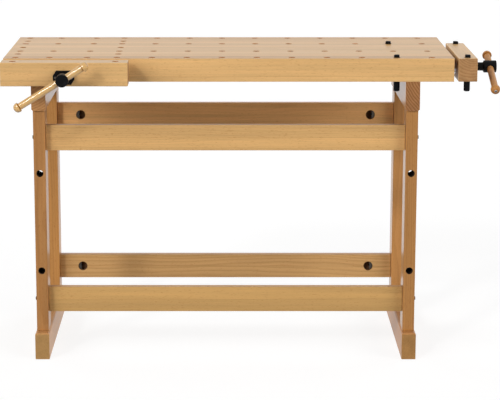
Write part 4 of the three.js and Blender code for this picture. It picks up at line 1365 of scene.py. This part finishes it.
def vise_screw(vise, depth):
    """The thread, the collar that turns in the jaw and the journal that goes into the hub."""
    start, end = vise.spread("screw")
    collar_end = vise.spread("thrust_plate")[0] - SEAT - start
    thread_length = collar_end - COLLAR_LENGTH
    steps = int(thread_length / SCREW_LEAD * THREAD_ROWS)
    thread = through_nodes(bpy.data.meshes.new("blank"), "vise thread", [{
        "Length": thread_length, "Radius": SCREW_RADIUS, "Depth": depth, "Lead": SCREW_LEAD,
        "Sides": THREAD_SIDES, "Rows": steps + CLOSING_ROWS, "Finish": steel(),
    }])
    journal = lathe([
        (0, thread_length), (COLLAR_RADIUS, thread_length), (COLLAR_RADIUS, collar_end),
        (JOURNAL_RADIUS, collar_end), (JOURNAL_RADIUS, end - start), (0, end - start),
    ], SHAFT_SIDES)
    whole = merged([to_shape(thread), journal])
    mesh = to_mesh(placed(whole, vise.out, vise.on_screw(start)), "screw")
    vise.add("threaded_screw", mesh, "screw", ["screw"], "bright_steel", steel())


def handle_hub(vise):
    """The hub with its neck, bored for the journal and across for the handle."""
    start, end = vise.spread("hub")
    hub_length = end - start
    bore_end = vise.spread("screw")[1] - start + SEAT
    bore = JOURNAL_RADIUS + SEAT
    round_centre = HUB_RADIUS - HUB_EDGE
    profile = [(0, bore_end), (bore, bore_end), (bore, 0), (NECK_RADIUS, 0)]
    profile += [(NECK_RADIUS, NECK_LENGTH - NECK_FLARE), (NECK_RADIUS + NECK_FLARE, NECK_LENGTH)]
    profile += arc((round_centre, NECK_LENGTH + HUB_EDGE), HUB_EDGE, -90, 0, HUB_STEPS)
    profile += arc((round_centre, hub_length - HUB_EDGE), HUB_EDGE, 0, 90, HUB_STEPS)
    profile += [(DISH_RIM, hub_length), (DISH_FLOOR, hub_length - DISH_DEPTH), (0, hub_length - DISH_DEPTH)]
    hub = placed(lathe(profile, HUB_SIDES), vise.out, vise.on_screw(start))
    way = placed(drill(HANDLE_RADIUS + SEAT, -2 * HUB_RADIUS, 2 * HUB_RADIUS), vise.along)
    mesh = drilled(hub, [(way, [vise.hub_middle()])], iron())
    vise.add("hub_casting", mesh, "screw", ["hub"], "black_iron", iron())


def knob_profile(recess=0.0):
    """A turned knob along Z from its inner face at 0 to its dome, open to a recess if one is given."""
    dome, shoulder = KNOB_LENGTH - KNOB_RIM, KNOB_RADIUS - KNOB_STEP
    round_centre = KNOB_RADIUS - KNOB_EDGE
    profile = arc((round_centre, KNOB_EDGE), KNOB_EDGE, -90, 0, KNOB_EDGE_STEPS)
    profile += arc((round_centre, KNOB_RIM - KNOB_EDGE), KNOB_EDGE, 0, 90, KNOB_EDGE_STEPS)
    last = math.degrees(math.acos(recess / shoulder))
    for radius, height in arc((0, 0), 1.0, 0, last, KNOB_DOME_STEPS):
        profile.append((shoulder * radius, KNOB_RIM + dome * height))
    return profile


def vise_handle(vise, wood):
    """The handle bar with its turned knob, and the loose knob with the screw that holds it on."""
    hub = vise.hub_middle()
    reach = {}
    for piece in ("handle", "handle_knob"):
        spots = frame["nodes"][vise.node(piece)].data.vertices
        reach[piece] = [(v.co - hub).dot(vise.along) for v in spots]
    short_end = max(reach["handle"]) - KNOB_LENGTH
    long_end = max(reach["handle_knob"])
    spigot_end = min(reach["handle"])
    bar_end = long_end + SEAT
    waist = HANDLE_RADIUS - GROOVE_DEPTH
    profile = [
        (0, spigot_end), (SPIGOT_RADIUS, spigot_end), (SPIGOT_RADIUS, bar_end), (waist, bar_end),
        (HANDLE_RADIUS, bar_end + GROOVE_WIDTH), (HANDLE_RADIUS, short_end - GROOVE_WIDTH),
        (waist, short_end),
    ]
    profile += [(radius, short_end + height) for radius, height in knob_profile()]
    pitch = math.asin(vise.along.z)
    turn = (0, pitch, 0) if vise.jaw_axis == "x" else (-pitch, 0, -math.pi / 2)
    finish = sawn(vise.node("handle"), wood.turned_tone, turn, HANDLE_GLOSS[vise.name], ring_contrast=0.25,
                  end_tone=HANDLE_END_TONE)
    bar = to_mesh(placed(lathe(profile), vise.along, hub), "bar")
    vise.add("handle_bar", bar, "handle", ["handle"], "beech_turned", finish)

    bore = SPIGOT_RADIUS + SEAT
    bore_end = bar_end - spigot_end
    outside = knob_profile(KNOB_RECESS)
    seat_height = outside[-1][1] - KNOB_RECESS_DEPTH
    inside = [(KNOB_RECESS, seat_height), (0, seat_height)]
    knob = lathe([(0, bore_end), (bore, bore_end), (bore, 0), *outside, *inside])
    face = hub + vise.along * long_end
    mesh = to_mesh(placed(knob, -vise.along, face), "knob")
    vise.add("loose_knob", mesh, "handle", ["handle_knob"], "beech_turned", finish)

    hexagon = circle(RECESS_SHARE * KNOB_SCREW_RADIUS, HEXAGON)
    # Its hexagon recess is painted black as shade.
    screw = screw_head(KNOB_SCREW_RADIUS, KNOB_RECESS_DEPTH, hexagon, steel())
    screw.transform(place_along(-vise.along, face - vise.along * seat_height))
    vise.add("knob_screw", screw, "handle", [], "zinc_steel", steel())


def guide_rods(vise):
    for rod in vise.rods:
        piece = f"{rod}_guide_rod"
        start, end = vise.spread(piece)
        rod_length = end - start
        shape = lathe([
            (0, 0), (ROD_RADIUS - ROD_EDGE, 0), (ROD_RADIUS, ROD_EDGE), (ROD_RADIUS, rod_length - ROD_EDGE),
            (ROD_RADIUS - ROD_EDGE, rod_length), (0, rod_length),
        ], SHAFT_SIDES)
        mesh = to_mesh(placed(shape, vise.out, vise.on_axis(piece, start)), "rod")
        vise.add(f"{piece}_bar", mesh, "jaw", [piece], "bright_steel", steel())


def vise_nut(vise):
    """The flanged nut under the bench, and its four screws."""
    start, end = vise.spread("vise_nut")
    half_width = vise.half_width("vise_nut")
    reach = vise.side * half_width + UP * NUT_RADIUS
    flange = end - FLANGE_THICKNESS
    corners = list(zip(vise.on_screw(end) + reach, vise.on_screw(flange) - reach))
    plate = block([min(pair) for pair in corners], [max(pair) for pair in corners])
    bevel(plate, PLATE_EDGE)
    boss_end = end - start - FLANGE_THICKNESS
    boss = lathe([
        (0, 0), (NUT_RADIUS - NUT_CHAMFER, 0), (NUT_RADIUS, NUT_CHAMFER), (NUT_RADIUS, boss_end),
        (0, boss_end),
    ])
    whole = merged([plate, placed(boss, vise.out, vise.on_screw(start))])
    way = placed(drill(SCREW_RADIUS + SEAT, start - PAST, end, SHAFT_RIM), vise.out)
    mesh = drilled(whole, [(way, [vise.on_screw(0)])], iron())
    add_piece(vise.node("nut_casting"), mesh, FRAME_BODY, [vise.node("vise_nut")], iron())
    spots = []
    for across in (NUT_SCREW_SHARE * half_width, -NUT_SCREW_SHARE * half_width):
        for rise in (NUT_SCREW_RISE, -NUT_SCREW_RISE):
            spots.append(vise.on_screw(flange) + vise.side * across + UP * rise)
    plate_screws(vise.node("nut_screws"), FRAME_BODY, spots, -vise.out)


def make_vise(vise, scene):
    jaw_board(vise, scene.bench_wood)
    thrust_plate(vise)
    vise_screw(vise, scene.bench_metal.thread_depth)
    handle_hub(vise)
    vise_handle(vise, scene.bench_wood)
    guide_rods(vise)
    vise_nut(vise)


class BENCH_OT_front_vise(bpy.types.Operator):
    """Makes the vise on the front of the bench"""

    bl_idname = "bench.front_vise"
    bl_label = "Front Vise"

    def execute(self, context):
        make_vise(VISES["front"], context.scene)
        return {"FINISHED"}


class BENCH_OT_tail_vise(bpy.types.Operator):
    """Makes the vise on the right end of the bench"""

    bl_idname = "bench.tail_vise"
    bl_label = "Tail Vise"

    def execute(self, context):
        make_vise(VISES["tail"], context.scene)
        return {"FINISHED"}


# Stage

WHITE = (1.0, 1.0, 1.0, 1.0)
KEY_LAMP = {"azimuth": -48, "elevation": 15, "softness": 46}
SPARK_LAMP = {"azimuth": -32, "elevation": 30, "softness": 7, "shine": True}
FILL_LAMP = {"azimuth": 58, "elevation": 15, "softness": 46}
BACK_LAMPS = [{"azimuth": turn, "elevation": 24, "softness": 40} for turn in (-130, 130)]
FLOOR_REACH = 60.0
FLOOR_SPECKS, FLOOR_SPECK_LIGHT = ((40.0, 40.0, 40.0), 2.0), 0.01
SENSOR_WIDTH = 36.0


def seen_directly(n):
    """1 for what the camera sees, straight or in a shiny surface, and 0 for light on its way elsewhere."""
    rays = n.add("ShaderNodeLightPath").outputs
    shiny = n.math("MAXIMUM", rays["Is Glossy Ray"], rays["Is Transmission Ray"])
    return n.math("MAXIMUM", rays["Is Camera Ray"], shiny)


def white_world(strength):
    """White where it is seen, and dim where it lights the bench."""
    world = bpy.data.worlds.new("white studio")
    world.use_nodes = True
    n = Nodes(world.node_tree)
    shown = n.times(seen_directly(n), 1.0 - strength)
    n.fill(world.node_tree.nodes["Background"], {"Color": WHITE, "Strength": n.total(strength, shown)})
    return world


def floor_finish(colour, lift):
    """A pale floor that shows white where nothing shades it and keeps the shadow of the bench."""
    material, n, shader = new_material("pale floor")
    place = n.add("ShaderNodeTexCoord").outputs["Object"]
    speck = n.times(n.noise(place, *FLOOR_SPECKS), FLOOR_SPECK_LIGHT)
    n.fill(shader, {
        "Base Color": n.scale((*colour,), n.total(1.0, speck)), "Roughness": 1.0, "Specular IOR Level": 0.0,
        "Emission Color": WHITE, "Emission Strength": n.times(seen_directly(n), lift),
    })
    return material


def sun(name, strength, azimuth, elevation, softness, shine=False):
    """A lamp in front of the bench at azimuth 0, to its right at 90. Shiny faces mirror it if it shines."""
    data = bpy.data.lights.new(name, "SUN")
    data.energy = strength
    data.angle = math.radians(softness)
    lamp = bpy.data.objects.new(name, data)
    lamp.visible_glossy = shine
    bpy.context.scene.collection.objects.link(lamp)
    turn, rise = math.radians(azimuth), math.radians(elevation)
    source = Vector((math.sin(turn) * math.cos(rise), -math.cos(turn) * math.cos(rise), math.sin(rise)))
    lamp.rotation_euler = source.to_track_quat("Z", "Y").to_euler()


def studio_floor(settings):
    corners = [(-1, -1), (1, -1), (1, 1), (-1, 1)]
    mesh = bpy.data.meshes.new("floor")
    mesh.from_pydata([(x * FLOOR_REACH, y * FLOOR_REACH, -SEAT) for x, y in corners], [], [range(4)])
    mesh.materials.append(floor_finish(settings.floor_colour, settings.floor_lift))
    floor = bpy.data.objects.new("floor", mesh)
    bpy.context.scene.collection.objects.link(floor)


def stage_camera(settings):
    data = bpy.data.cameras.new("camera")
    data.lens = settings.camera_lens
    data.sensor_width = SENSOR_WIDTH
    data.shift_x = settings.camera_shift
    data.clip_end = 2 * FLOOR_REACH
    camera = bpy.data.objects.new("camera", data)
    camera.location = settings.camera_place
    camera.rotation_euler = (math.pi / 2 - settings.camera_pitch, 0, 0)
    bpy.context.scene.collection.objects.link(camera)
    return camera


class BENCH_OT_stage(bpy.types.Operator):
    """Sets the floor, the lamps and the camera"""

    bl_idname = "bench.stage"
    bl_label = "Stage"

    def execute(self, context):
        scene, settings = context.scene, context.scene.bench_stage
        scene.view_settings.view_transform = "Standard"
        scene.world = white_world(settings.sky_strength)
        sun("key light", settings.key_strength, **KEY_LAMP)
        sun("spark light", settings.spark_strength, **SPARK_LAMP)
        sun("fill light", settings.fill_strength, **FILL_LAMP)
        for lamp in BACK_LAMPS:
            sun("back light", settings.back_strength, **lamp)
        studio_floor(settings)
        scene.camera = stage_camera(settings)
        return {"FINISHED"}


class BENCH_PT_sidebar(bpy.types.Panel):
    """Lists what makes the bench"""

    bl_idname = "BENCH_PT_sidebar"
    bl_label = "Woodworking Bench"
    bl_space_type = "VIEW_3D"
    bl_region_type = "UI"
    bl_category = "Bench"

    def draw(self, context):
        for name, settings in SETTINGS.items():
            box = self.layout.box()
            for value in settings.__annotations__:
                box.prop(getattr(context.scene, name), value)
        for operator in OPERATORS:
            self.layout.operator(operator.bl_idname)


SETTINGS = {"bench_wood": BenchWood, "bench_metal": BenchMetal, "bench_stage": BenchStage}
OPERATORS = (
    BENCH_OT_stage, BENCH_OT_top, BENCH_OT_trestles, BENCH_OT_stretchers, BENCH_OT_fasteners, BENCH_OT_dogs,
    BENCH_OT_front_vise, BENCH_OT_tail_vise,
)
CLASSES = (*SETTINGS.values(), *OPERATORS, BENCH_PT_sidebar)


def register():
    for cls in CLASSES:
        bpy.utils.register_class(cls)
    for name, cls in SETTINGS.items():
        setattr(bpy.types.Scene, name, PointerProperty(type=cls))


def unregister():
    for name in SETTINGS:
        delattr(bpy.types.Scene, name)
    for cls in reversed(CLASSES):
        bpy.utils.unregister_class(cls)


def main():
    register()
    for make_tree in (beech_figure, drilling_tree, copies_tree, thread_tree):
        make_tree()
    bpy.ops.bench.stage()
    bpy.ops.bench.top()
    bpy.ops.bench.trestles()
    bpy.ops.bench.stretchers()
    bpy.ops.bench.fasteners()
    bpy.ops.bench.dogs()
    bpy.ops.bench.front_vise()
    bpy.ops.bench.tail_vise()


if __name__ == "__main__":
    main()
